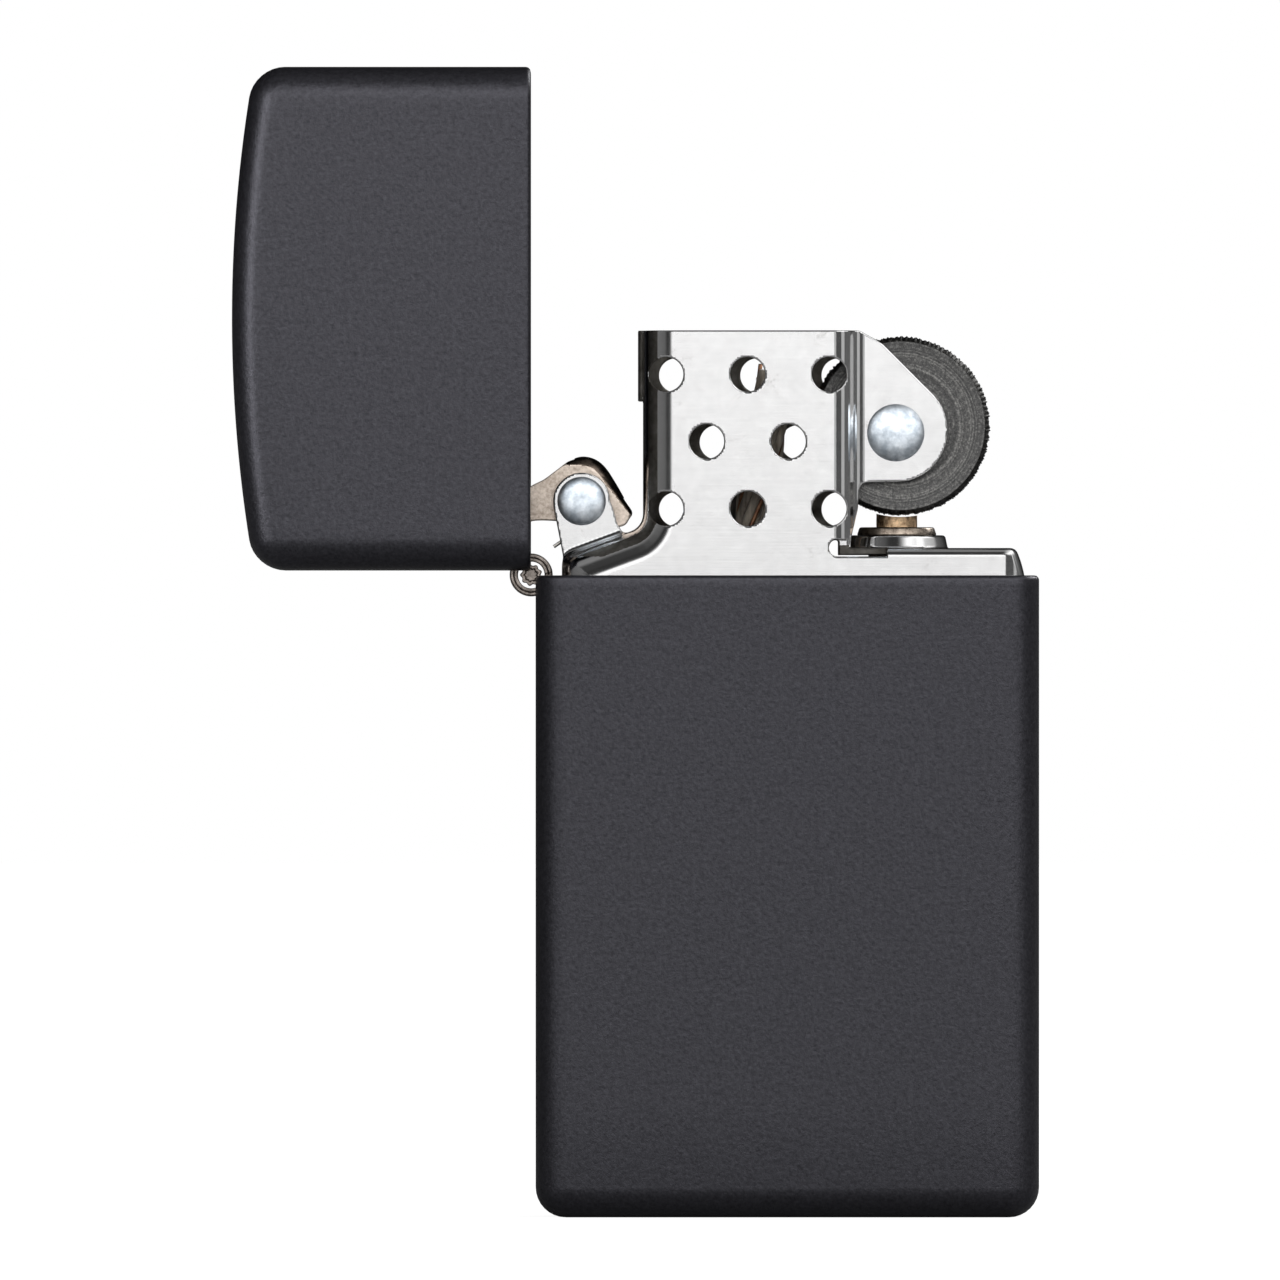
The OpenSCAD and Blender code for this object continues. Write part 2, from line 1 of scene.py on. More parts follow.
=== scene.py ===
import json
import random
from math import acos, atan2, cos, hypot, pi, radians, sin, sqrt, tan

import bmesh
import bpy
import numpy as np
from mathutils import Matrix, Vector


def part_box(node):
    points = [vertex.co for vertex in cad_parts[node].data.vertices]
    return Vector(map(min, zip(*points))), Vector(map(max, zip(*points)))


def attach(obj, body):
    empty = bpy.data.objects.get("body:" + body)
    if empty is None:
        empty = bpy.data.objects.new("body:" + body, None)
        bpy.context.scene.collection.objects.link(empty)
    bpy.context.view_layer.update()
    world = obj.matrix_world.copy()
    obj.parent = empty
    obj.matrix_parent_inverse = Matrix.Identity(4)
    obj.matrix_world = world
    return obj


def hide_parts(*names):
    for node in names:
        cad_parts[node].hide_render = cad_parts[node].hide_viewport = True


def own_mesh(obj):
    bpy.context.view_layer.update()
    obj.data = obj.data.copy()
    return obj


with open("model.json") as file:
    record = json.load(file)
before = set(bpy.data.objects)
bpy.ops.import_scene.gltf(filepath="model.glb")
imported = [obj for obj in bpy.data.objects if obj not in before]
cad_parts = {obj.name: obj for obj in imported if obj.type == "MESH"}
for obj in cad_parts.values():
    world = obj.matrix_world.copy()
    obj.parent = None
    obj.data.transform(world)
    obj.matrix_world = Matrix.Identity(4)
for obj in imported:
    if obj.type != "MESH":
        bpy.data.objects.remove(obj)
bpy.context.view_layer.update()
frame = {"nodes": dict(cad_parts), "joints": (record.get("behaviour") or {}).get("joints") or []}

# Lengths below are in millimetres, and MM turns them into the frame's metres.
MM = 0.001
NODES = frame["nodes"]
JOINTS = {j["name"]: j for j in frame["joints"]}


def node_box(node):
    """A CAD node's lowest and highest corners, in millimetres."""
    low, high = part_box(node)
    return np.array(low) / MM, np.array(high) / MM


def joint_centre(joint):
    """A hinge's x and z, in millimetres."""
    return JOINTS[joint]["pos_m"][0] / MM, JOINTS[joint]["pos_m"][2] / MM


# -------- sizes

case_low, case_high = node_box("case_bottom")
CASE_W = case_high[0] - case_low[0]
CASE_D = case_high[1] - case_low[1]
CASE_H = case_high[2]
CASE_WALL = 0.6
CORNER_R = 1.9          # the case's upright corners, in plan
EDGE_R = 1.8            # the edges round the base and the crown
RIM_R = 0.28
CROWN_R = 85.0

HINGE_X, HINGE_Z = joint_centre("lid_hinge")
lid_low = node_box("case_lid")[0]
LID_H = HINGE_X - lid_low[0] - 0.03     # rim to the top of the crown
LID_GAP = 0.06
BARREL_R = 1.28
PIN_R = 0.68
NOTCH = BARREL_R + 0.1
leaf_low, leaf_high = node_box("hinge_leaf_case")
HINGE_L = leaf_high[1] - leaf_low[1]
KNUCKLES = 5

insert_low, insert_high = node_box("insert_shell")
INSERT_X0 = -CASE_W / 2 + CASE_WALL + 1.05
INSERT_X1 = insert_high[0]
INSERT_Y = insert_high[1]
INSERT_CORNER_R = 1.4
SHEET = 0.4
DECK_Z = CASE_H + 1.63
CHIMNEY_X = -8.6
CHIMNEY_TOP = insert_high[2]
ROLL_R = 1.9            # how far the chimney's and shoulder's front edges roll back
EAR_Y = 3.0

WHEEL_X, WHEEL_Z = joint_centre("wheel_spin")
WHEEL_R = 5.4
WHEEL_HALF = 2.5
rivet_low, rivet_high = node_box("wheel_rivet")
AXLE_X, AXLE_Z = (rivet_low[0] + rivet_high[0]) / 2, (rivet_low[2] + rivet_high[2]) / 2
CAM_X, CAM_Z = joint_centre("cam_pivot")
CAM_EAR_Y = 2.45
CAM_HALF = 1.95

tube_low, tube_high = node_box("flint_tube")
FLINT_X = (tube_low[0] + tube_high[0]) / 2
TUBE_R = 1.7
BOSS_H = 0.77
flint_low, flint_high = node_box("flint")
FLINT_R = (flint_high[0] - flint_low[0]) / 2

wick_low, wick_high = node_box("wick")
WICK_R = (wick_high[1] - wick_low[1]) / 2
WICK_X = wick_low[0] + WICK_R
WICK_LEAN = 0.16        # above the deck the wick leans towards the wheel


# -------- meshes

def link(name, data):
    """A new object in the scene, holding a mesh, a lamp or a camera."""
    obj = bpy.data.objects.new(name, data)
    bpy.context.scene.collection.objects.link(obj)
    return obj


def piece(name, mesh, material, body, node):
    """Turns a mesh into a piece that rides on a body and stands for a CAD node."""
    obj = link(name, mesh)
    mesh.materials.append(material)
    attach(obj, body)
    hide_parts(node)
    return obj


def mesh_object(name, verts, faces, material, body, node, matrix=None):
    """A smooth mesh piece from points in millimetres."""
    mesh = bpy.data.meshes.new(name)
    points = np.asarray(verts, float) * MM
    mesh.from_pydata(points.tolist(), [], [list(map(int, f)) for f in faces])
    if matrix is not None:
        mesh.transform(matrix)
    mesh.polygons.foreach_set("use_smooth", [True] * len(mesh.polygons))
    mesh.validate()
    mesh.update()
    return piece(name, mesh, material, body, node)


def stitch(rows, n, closed=True, looped=False, start=0):
    """Quads between rows of n points; closed joins a row's ends, and looped the last row to the first."""
    quads = []
    for i in range(rows if looped else rows - 1):
        a, b = start + i * n, start + (i + 1) % rows * n
        quads += [(a + j, a + (j + 1) % n, b + (j + 1) % n, b + j) for j in range(n if closed else n - 1)]
    return quads


def mirrored(profile):
    """A profile of (radius, height) pairs followed by its mirror image below."""
    return profile + [(r, -h) for r, h in reversed(profile)]


def clean(obj, sharp_deg, merge=1e-7):
    """Merges doubled points, makes the faces look outwards and marks edges sharper than sharp_deg."""
    bm = bmesh.new()
    bm.from_mesh(obj.data)
    bmesh.ops.remove_doubles(bm, verts=bm.verts, dist=merge)
    bmesh.ops.dissolve_degenerate(bm, edges=bm.edges, dist=merge)
    bmesh.ops.recalc_face_normals(bm, faces=bm.faces)
    for edge in bm.edges:
        if len(edge.link_faces) == 2 and edge.calc_face_angle(0) > radians(sharp_deg):
            edge.smooth = False
    bm.to_mesh(obj.data)
    bm.free()
    return obj


def soften_edges(obj, width):
    bevel = obj.modifiers.new("edges", "BEVEL")
    bevel.width = width * MM
    bevel.segments = 2
    bevel.limit_method = "ANGLE"


def rotated(x, z, degrees):
    """A turn about the line through (x, z) along Y, positive by the right-hand rule."""
    centre = Vector((x, 0, z)) * MM
    turn = Matrix.Rotation(radians(degrees), 4, "Y")
    return Matrix.Translation(centre) @ turn @ Matrix.Translation(-centre)


def lathe(name, profile, centre, axis, material, body, node, wobble=None, steps=72):
    """Turns a profile of (radius, height) pairs about an axis through centre: axis "z" or "y"."""
    verts = []
    for i in range(steps):
        angle = 2 * pi * i / steps
        for r, h in profile:
            if wobble:
                r, h = wobble(r, h, angle)
            u, v = r * cos(angle), r * sin(angle)
            offset = (u, v, h) if axis == "z" else (u, h, v)
            verts.append([c + o for c, o in zip(centre, offset)])
    faces = stitch(steps, len(profile), closed=False, looped=True)
    return clean(mesh_object(name, verts, faces, material, body, node), 35)


def fillet_profile(corners, steps=6):
    """An open or closed outline through corners (u, v, radius), each corner rounded by an arc."""
    out = []
    n = len(corners)
    for i, (u, v, r) in enumerate(corners):
        if r <= 0:
            out.append((u, v))
            continue
        p = np.array((u, v), float)
        a = np.array(corners[i - 1][:2], float) - p
        b = np.array(corners[(i + 1) % n][:2], float) - p
        a /= np.linalg.norm(a)
        b /= np.linalg.norm(b)
        half = acos(np.clip(a @ b, -1, 1)) / 2
        reach = r / tan(half)
        middle = (a + b) / np.linalg.norm(a + b)
        centre = p + middle * r / sin(half)
        start = p + a * reach - centre
        end = p + b * reach - centre
        turn = atan2(start[0] * end[1] - start[1] * end[0], start @ end)
        for k in range(steps + 1):
            t = turn * k / steps
            c, s = cos(t), sin(t)
            out.append(tuple(centre + (start[0] * c - start[1] * s, start[0] * s + start[1] * c)))
    return out


# -------- shaped by distance fields

def polygon_field(outline, u, v):
    """Signed distance from (u, v) to a closed outline, negative inside."""
    u, v = np.broadcast_arrays(np.asarray(u, np.float32), np.asarray(v, np.float32))
    nearest = np.full(u.shape, 1e9, np.float32)
    inside = np.zeros(u.shape, bool)
    for (ax, ay), (bx, by) in zip(outline, outline[1:] + outline[:1]):
        ex, ey = bx - ax, by - ay
        square = ex * ex + ey * ey
        if square < 1e-12:
            continue
        wx, wy = u - ax, v - ay
        t = np.clip((wx * ex + wy * ey) / square, 0, 1)
        nearest = np.minimum(nearest, (wx - ex * t) ** 2 + (wy - ey * t) ** 2)
        above, below, left = v >= ay, v < by, ex * wy > ey * wx
        inside ^= (above & below & left) | (~above & ~below & ~left)
    return np.where(inside, -1, 1) * np.sqrt(nearest)


def cut(a, b, r):
    """What a and b share, its edge rounded by r."""
    return np.minimum(np.maximum(a, b), -r) + np.hypot(np.maximum(a + r, 0), np.maximum(b + r, 0))


def join(a, b, r):
    """a and b together, the inside corner between them filled by a radius r."""
    return np.maximum(np.minimum(a, b), r) - np.hypot(np.maximum(r - a, 0), np.maximum(r - b, 0))


def surface(field, low, high, step):
    """The field's zero surface as points and quads: a surface net, then pulled onto the true surface."""
    axes = [np.arange(lo, hi + step, step, dtype=np.float32) for lo, hi in zip(low, high)]
    x, y, z = axes[0][:, None, None], axes[1][None, :, None], axes[2][None, None, :]
    f = np.broadcast_to(field(x, y, z), [len(a) for a in axes]).astype(np.float32)
    inside = f < 0
    shape = [n - 1 for n in f.shape]
    total = np.zeros(shape + [3], np.float32)
    count = np.zeros(shape, np.float32)

    def part(array, starts, sizes):
        return array[tuple(slice(s, s + n) for s, n in zip(starts, sizes))]

    def neighbours(array, axis):
        """The values at the two ends of every grid edge along an axis."""
        size = [n - (k == axis) for k, n in enumerate(array.shape)]
        return part(array, (0, 0, 0), size), part(array, [int(k == axis) for k in range(3)], size)

    for axis in range(3):
        f0, f1 = neighbours(f, axis)
        crossed = np.not_equal(*neighbours(inside, axis))
        t = np.where(crossed, f0 / np.where(crossed, f0 - f1, 1), 0)
        others = [k for k in range(3) if k != axis]
        for p in (0, 1):
            for q in (0, 1):
                start = [0, 0, 0]
                start[others[0]], start[others[1]] = p, q
                hit = part(crossed, start, shape)
                count += hit
                total[..., axis] += hit * part(t, start, shape)
                total[..., others[0]] += hit * p
                total[..., others[1]] += hit * q
    cells = np.argwhere(count > 0)
    index = np.full(shape, -1, np.int64)
    index[tuple(cells.T)] = np.arange(len(cells))
    offset = total[tuple(cells.T)] / count[tuple(cells.T)][:, None]
    points = (cells + offset) * step + np.array([a[0] for a in axes])

    quads = []
    for axis in range(3):
        b, c = (axis + 1) % 3, (axis + 2) % 3
        s0, s1 = neighbours(inside, axis)
        edges = np.argwhere(s0 != s1)
        keep = (edges[:, b] > 0) & (edges[:, c] > 0)
        keep &= (edges[:, b] < f.shape[b] - 1) & (edges[:, c] < f.shape[c] - 1)
        edges = edges[keep]
        corners = []
        for db, dc in ((-1, -1), (0, -1), (0, 0), (-1, 0)):
            cell = edges.copy()
            cell[:, b] += db
            cell[:, c] += dc
            corners.append(index[tuple(cell.T)])
        quad = np.stack(corners, 1)
        flip = ~s0[tuple(edges.T)]
        quad[flip] = quad[flip][:, ::-1]
        quads.append(quad)

    def gradient(p, d=0.004):
        out = np.zeros_like(p)
        for k in range(3):
            e = np.zeros(3)
            e[k] = d
            out[:, k] = (field(*(p + e).T) - field(*(p - e).T)) / (2 * d)
        return out

    points = points.astype(np.float64)
    for _ in range(2):
        g = gradient(points)
        push = field(*points.T)[:, None] * g / np.maximum((g * g).sum(1), 0.2)[:, None]
        points -= np.clip(push, -0.6 * step, 0.6 * step)
    normals = gradient(points)
    normals /= np.maximum(np.linalg.norm(normals, axis=1), 1e-6)[:, None]
    return points, np.concatenate(quads), normals


def field_object(name, field, low, high, step, material, body, node):
    """A piece whose surface is a field's zero, shaded with the field's own normals."""
    points, quads, normals = surface(field, low, high, step)
    mesh = bpy.data.meshes.new(name)
    mesh.from_pydata((points * MM).tolist(), [], quads.tolist())
    mesh.polygons.foreach_set("use_smooth", [True] * len(mesh.polygons))
    mesh.update()
    mesh.normals_split_custom_set_from_vertices(normals.tolist())
    return piece(name, mesh, material, body, node)


def second_finish(obj, material, chosen):
    """Gives a second material to the faces whose centres are chosen by a rule on x, y, z and the normal."""
    mesh = obj.data
    mesh.materials.append(material)
    count = len(mesh.polygons)
    centres, normals = np.empty(count * 3), np.empty(count * 3)
    mesh.polygons.foreach_get("center", centres)
    mesh.polygons.foreach_get("normal", normals)
    x, y, z = (centres / MM).reshape(-1, 3).T
    pick = chosen(x, y, z, normals.reshape(-1, 3))
    mesh.polygons.foreach_set("material_index", pick.astype(np.int32))


# -------- materials

class Graph:
    """Shader nodes being added to a tree."""

    def __init__(self, tree):
        self.tree = tree

    def node(self, kind, settings=None, **inputs):
        n = self.tree.nodes.new("ShaderNode" + kind)
        for key, value in (settings or {}).items():
            setattr(n, key, value)
        for key, value in inputs.items():
            numbered = key[0] == "i" and key[1:].isdigit()
            socket = n.inputs[int(key[1:]) if numbered else key.replace("_", " ")]
            if isinstance(value, bpy.types.NodeSocket):
                self.tree.links.new(value, socket)
            else:
                socket.default_value = value
        return n

    def math(self, operation, a, b=0.0):
        return self.node("Math", {"operation": operation}, i0=a, i1=b).outputs[0]

    def product(self, *factors):
        out = factors[0]
        for factor in factors[1:]:
            out = self.math("MULTIPLY", out, factor)
        return out

    def blend(self, *parts):
        """Adds up (value, share) pairs."""
        out = self.math("MULTIPLY", *parts[0])
        for part in parts[1:]:
            out = self.math("ADD", out, self.math("MULTIPLY", *part))
        return out

    def ramp(self, fac, stops):
        n = self.node("ValToRGB", Fac=fac)
        while len(n.color_ramp.elements) < len(stops):
            n.color_ramp.elements.new(0.5)
        for element, (place, colour) in zip(n.color_ramp.elements, stops):
            element.position = place
            if not hasattr(colour, "__len__"):
                colour = (colour, colour, colour)
            element.color = (*colour, 1)
        return n.outputs["Color"]


class Finish(Graph):
    """A procedural material being built: noise and ramps that feed one principled shader."""

    def __init__(self, name, metallic=0.0, roughness=0.5):
        self.material = bpy.data.materials.new(name)
        self.material.use_nodes = True
        super().__init__(self.material.node_tree)
        self.shader = self.tree.nodes["Principled BSDF"]
        self.shader.inputs["Metallic"].default_value = metallic
        self.shader.inputs["Roughness"].default_value = roughness
        self.coords = self.node("TexCoord").outputs["Object"]

    def moved(self, location=(0, 0, 0), scale=(1, 1, 1)):
        return self.node("Mapping", Vector=self.coords, Location=location, Scale=scale).outputs[0]

    def noise(self, per_mm, detail=3.0, roughness=0.5, stretch=(1, 1, 1), distortion=0.0, vector=None):
        return self.node("TexNoise", Vector=vector or self.moved(scale=stretch), Scale=per_mm / MM,
                         Detail=detail, Roughness=roughness, Distortion=distortion).outputs["Fac"]

    def bump(self, height, depth_mm, strength=1.0, normal=None):
        n = self.node("Bump", Height=height, Distance=depth_mm * MM, Strength=strength)
        if normal is not None:
            self.tree.links.new(normal, n.inputs["Normal"])
        return n.outputs["Normal"]

    def set(self, **sockets):
        for key, value in sockets.items():
            self.tree.links.new(value, self.shader.inputs[key.replace("_", " ")])
        return self.material


def black_paint():
    f = Finish("black_paint", metallic=0.75, roughness=0.36)
    crinkle = f.noise(3.2, detail=5, roughness=0.7)
    fine = f.noise(5.5, detail=4, roughness=0.7)
    both = f.blend((crinkle, 0.5), (fine, 0.5))
    colour = f.ramp(both, [(0.36, (0.0205, 0.0200, 0.0245)), (0.64, (0.045, 0.0445, 0.0525))])
    rough = f.ramp(fine, [(0.3, 0.34), (0.7, 0.42)])
    return f.set(Base_Color=colour, Roughness=rough, Normal=f.bump(both, 0.040, 0.8))


def sheet_steel():
    f = Finish("sheet_steel", metallic=1.0, roughness=0.12)
    smudge = f.noise(0.6, detail=7, roughness=0.75, distortion=0.6)
    colour = f.ramp(smudge, [(0.26, (0.70, 0.69, 0.68)), (0.37, (0.89, 0.885, 0.885)), (0.7, 0.93)])
    rough = f.ramp(f.noise(1.2, detail=6, roughness=0.7), [(0.3, 0.11), (0.75, 0.15)])
    drag = f.noise(1.0, detail=4, stretch=(0.15, 1, 9))
    dents = f.noise(0.5, detail=2)
    normal = f.bump(drag, 0.0008, 0.5, f.bump(dents, 0.003, 0.5))
    return f.set(Base_Color=colour, Roughness=rough, Normal=normal)


def painted_shade_metal(name, metallic, spots, colours, rough, bumps, depth):
    """Darker metal used as painted shade: spots is its colour's noise, rough its roughness at low and high
    spots.
    """
    f = Finish(name, metallic)
    spots = f.noise(**spots)
    rough = f.ramp(spots, [(0.3, rough[0]), (0.7, rough[1])])
    return f.set(Base_Color=f.ramp(spots, colours), Roughness=rough,
                 Normal=f.bump(f.noise(bumps, detail=4), depth, 0.5))


def rivet_steel():
    f = Finish("rivet_steel", metallic=1.0, roughness=0.3)
    spots = f.noise(1.6, detail=5, roughness=0.6)
    colour = f.ramp(spots, [(0.34, (0.40, 0.45, 0.50)), (0.66, (0.80, 0.85, 0.90))])
    rough = f.ramp(f.noise(2.5, detail=4), [(0.3, 0.40), (0.7, 0.55)])
    return f.set(Base_Color=colour, Roughness=rough, Normal=f.bump(f.noise(1.1, detail=3), 0.05, 0.55))


def wheel_steel():
    """Dark steel with the rings that a lathe leaves round the wheel's centre."""
    f = Finish("wheel_steel", metallic=0.6, roughness=0.6)
    from_centre = f.node("SeparateXYZ", Vector=f.moved(location=(-WHEEL_X * MM, 0, -WHEEL_Z * MM)))
    dx, dz = from_centre.outputs["X"], from_centre.outputs["Z"]
    radius = f.math("SQRT", f.blend((dx, dx), (dz, dz)))
    line = f.node("CombineXYZ", X=radius, Y=0.0, Z=0.0).outputs[0]
    rings = f.noise(3.2, detail=6, roughness=0.75, vector=line)
    grain = f.noise(4.5, detail=6, roughness=0.8)
    flecks = f.noise(11, detail=3, roughness=0.7)
    mix = f.blend((rings, 0.45), (grain, 0.35), (flecks, 0.2))
    colour = f.ramp(mix, [(0.40, 0.020), (0.5, (0.080, 0.079, 0.078)), (0.60, (0.30, 0.295, 0.28))])
    rough = f.ramp(grain, [(0.3, 0.5), (0.7, 0.7)])
    normal = f.bump(grain, 0.03, 0.7, f.bump(rings, 0.03, 0.8))
    return f.set(Base_Color=colour, Roughness=rough, Normal=normal)


def cam_metal():
    f = Finish("cam_metal", metallic=0.7, roughness=0.45)
    grain = f.noise(5, detail=5, roughness=0.75)
    broad = f.noise(0.9, detail=3)
    mix = f.blend((grain, 0.6), (broad, 0.4))
    colour = f.ramp(mix, [(0.36, (0.27, 0.22, 0.18)), (0.5, (0.48, 0.41, 0.35)), (0.64, (0.64, 0.56, 0.49))])
    return f.set(Base_Color=colour, Normal=f.bump(grain, 0.012, 0.6))


def plain_metal(name, dark, light, roughness, per_mm=2.5, depth=0.01):
    f = Finish(name, metallic=1.0, roughness=roughness)
    grain = f.noise(per_mm, detail=5, roughness=0.65)
    colour = f.ramp(grain, [(0.35, dark), (0.65, light)])
    rough = f.ramp(grain, [(0.3, roughness * 0.85), (0.7, roughness * 1.2)])
    return f.set(Base_Color=colour, Roughness=rough, Normal=f.bump(grain, depth, 0.6))


def fibres(name, dark, light, per_mm, stretch, depth):
    f = Finish(name, roughness=0.9)
    strands = f.noise(per_mm, detail=4, roughness=0.6, stretch=stretch)
    fuzz = f.noise(per_mm * 3, detail=3)
    colour = f.ramp(strands, [(0.3, dark), (0.7, light)])
    f.shader.inputs["Sheen Weight"].default_value = 0.3
    return f.set(Base_Color=colour, Normal=f.bump(fuzz, depth / 2, 0.5, f.bump(strands, depth, 0.8)))


PAINT = black_paint()
STEEL = sheet_steel()
# Darker steel as painted shade on the insert's inside, in the slot that frees the neck and on the lapped
# seam.
PAINTED_SHADE_STEEL = painted_shade_metal("painted_shade_steel", 0.9, dict(per_mm=0.8, detail=5, roughness=0.65),
                          [(0.35, (0.12, 0.108, 0.092)), (0.65, (0.30, 0.285, 0.26))], (0.55, 0.38), 3, 0.008)
RIVET = rivet_steel()
WHEEL = wheel_steel()
# The knurled rim's finish: near black, painted shade in the cut teeth.
WHEEL_RIM_SHADE = plain_metal("wheel_rim_painted_shade", 0.012, (0.07, 0.068, 0.065), 0.45, per_mm=5, depth=0.03)
CAM = cam_metal()
# The cam's folded edge, rubbed smooth, its colour darkened as painted shade on the bend.
CAM_EDGE_SHADE = painted_shade_metal("cam_edge_painted_shade", 1.0, dict(per_mm=2.5, detail=4),
                        [(0.3, (0.045, 0.035, 0.03)), (0.7, (0.12, 0.095, 0.075))], (0.24, 0.34), 5, 0.006)
HINGE = plain_metal("hinge_metal", (0.08, 0.07, 0.062), (0.30, 0.265, 0.24), 0.40)
BLUED = plain_metal("spring_steel", (0.30, 0.29, 0.27), (0.50, 0.48, 0.45), 0.35)
BRASS = plain_metal("turned_brass", (0.36, 0.25, 0.10), (0.72, 0.54, 0.26), 0.32)
FLINT = plain_metal("flint_metal", (0.13, 0.07, 0.035), (0.82, 0.60, 0.38), 0.5, per_mm=3, depth=0.05)
COPPER = plain_metal("copper_wire", (0.22, 0.10, 0.06), (0.45, 0.25, 0.15), 0.5)
COTTON = fibres("wick_cotton", (0.13, 0.11, 0.09), (0.50, 0.44, 0.36), 3, (1, 1, 0.15), 0.05)
WADDING = fibres("cotton_wadding", (0.62, 0.60, 0.54), (0.86, 0.84, 0.79), 1.4, (1, 1, 1), 0.15)
FELT = fibres("pressed_felt", (0.42, 0.38, 0.30), (0.62, 0.57, 0.47), 2.2, (1, 1, 1), 0.1)


# -------- case and lid

ARC_STEPS = 12
LONG_STEPS = 48
SHORT_STEPS = 12


def plan_ring(inset, width, depth, corner):
    """Points round a rounded rectangle drawn in by inset, always the same number in the same order.
    The first SHORT_STEPS + 1 points run down the flat of the -X side."""
    radius = max(corner - inset, 0.0)
    half_w, half_d = width / 2 - inset - radius, max(depth / 2 - inset - radius, 0.0)
    points = []
    sides = [
        ((-half_w, half_d), (-half_w, -half_d), 180, SHORT_STEPS),
        ((-half_w, -half_d), (half_w, -half_d), 270, LONG_STEPS),
        ((half_w, -half_d), (half_w, half_d), 0, SHORT_STEPS),
        ((half_w, half_d), (-half_w, half_d), 90, LONG_STEPS),
    ]
    for (ax, ay), (bx, by), facing, steps in sides:
        out = radius * cos(radians(facing)), radius * sin(radians(facing))
        for k in range(steps + 1):
            t = k / steps
            points.append((ax + (bx - ax) * t + out[0], ay + (by - ay) * t + out[1]))
        for k in range(1, ARC_STEPS):
            a = radians(facing + 90 * k / ARC_STEPS)
            points.append((bx + radius * cos(a), by + radius * sin(a)))
    return points


def quarter(r, steps=8):
    """(inset, drop) along a quarter circle, from the flat to the wall."""
    angles = [radians(90 * k / steps) for k in range(steps + 1)]
    return [(r * (1 - sin(angle)), r * (1 - cos(angle))) for angle in angles]


def can(name, height, crown, material, body, node, notch_low, matrix=None):
    """A drawn can, open end up at height, its closed end at z 0, with a notch for the hinge barrel in its
    -X wall from notch_low up to the rim. crown is how far the closed end bulges at a distance x."""
    rows = []           # (inset, z, how much of the crown's bulge)
    steps = 14
    for k in range(steps):
        rows.append((CASE_D / 2 - (CASE_D / 2 - EDGE_R) * k / steps, 0.0, 1.0))
    rows += [(inset, drop, 1.0) for inset, drop in quarter(EDGE_R)]
    for z in np.linspace(EDGE_R, notch_low, 8)[1:]:
        rows.append((0.0, z, max(0.0, 1 - (z - EDGE_R) / 6)))
    low_row = len(rows) - 1
    rows.append((0.0, (notch_low + height) / 2, 0.0))
    rows += [(inset, height - drop, 0.0) for inset, drop in quarter(RIM_R, 4)[::-1]]
    inner = CASE_WALL
    rows += [(inner - inset, height - drop, 0.0) for inset, drop in quarter(RIM_R, 4)]
    rows.append((inner, (notch_low + height) / 2, 0.0))
    rows.append((inner, notch_low, 0.0))
    high_row = len(rows) - 1
    for z in np.linspace(notch_low, EDGE_R, 8)[1:-1]:
        rows.append((inner, z, max(0.0, 1 - (z - EDGE_R) / 6)))
    inner_r = EDGE_R - CASE_WALL
    rows += [(inner + inset, inner + drop, 1.0) for inset, drop in quarter(inner_r)[::-1]]
    for k in range(1, steps + 1):
        rows.append((inner + inner_r + (CASE_D / 2 - inner - inner_r) * k / steps, inner, 1.0))

    verts = [(x, y, z + bulge * crown(x)) for inset, z, bulge in rows
             for x, y in plan_ring(inset, CASE_W, CASE_D, CORNER_R)]
    n = len(verts) // len(rows)
    faces = [quad for quad in stitch(len(rows), n)
             if not (low_row <= quad[0] // n < high_row and quad[0] % n < SHORT_STEPS)]
    for j in range(SHORT_STEPS):
        faces.append((low_row * n + j, high_row * n + j, high_row * n + j + 1, low_row * n + j + 1))
    for j in (0, SHORT_STEPS):
        faces.append([i * n + j for i in range(low_row, high_row + 1)])
    obj = mesh_object(name, verts, faces, material, body, node, matrix)
    return clean(obj, 40, merge=2e-6)


can("lower_case", CASE_H, lambda x: 0.0, PAINT, "case", "case_bottom", HINGE_Z - NOTCH)
LID_FLIP = Matrix.Translation((0, 0, (CASE_H + LID_GAP + LID_H) * MM)) @ Matrix.Rotation(pi, 4, "X")
can("lid", LID_H, lambda x: CROWN_R - sqrt(CROWN_R ** 2 - x * x), PAINT, "lid", "case_lid",
    CASE_H + LID_GAP + LID_H - HINGE_Z - NOTCH, rotated(HINGE_X, HINGE_Z, -90) @ LID_FLIP)


# -------- insert

HOLE_R = 1.02
HOLES_BACK = 0.6        # the back wall's holes sit this much further right
HOLES = [(-2.36 + (i - (n - 1) / 2) * 4.86, 46.22 + row * 4.0)
         for row, n in ((-1, 3), (0, 2), (1, 3)) for i in range(n)]
EAR_R = 3.07
EAR_CENTRE = (6.5, 46.88)


def arc_points(centre, r, start, end, steps=16):
    angles = [radians(start + (end - start) * k / steps) for k in range(steps + 1)]
    return [(centre[0] + r * cos(angle), centre[1] + r * sin(angle)) for angle in angles]


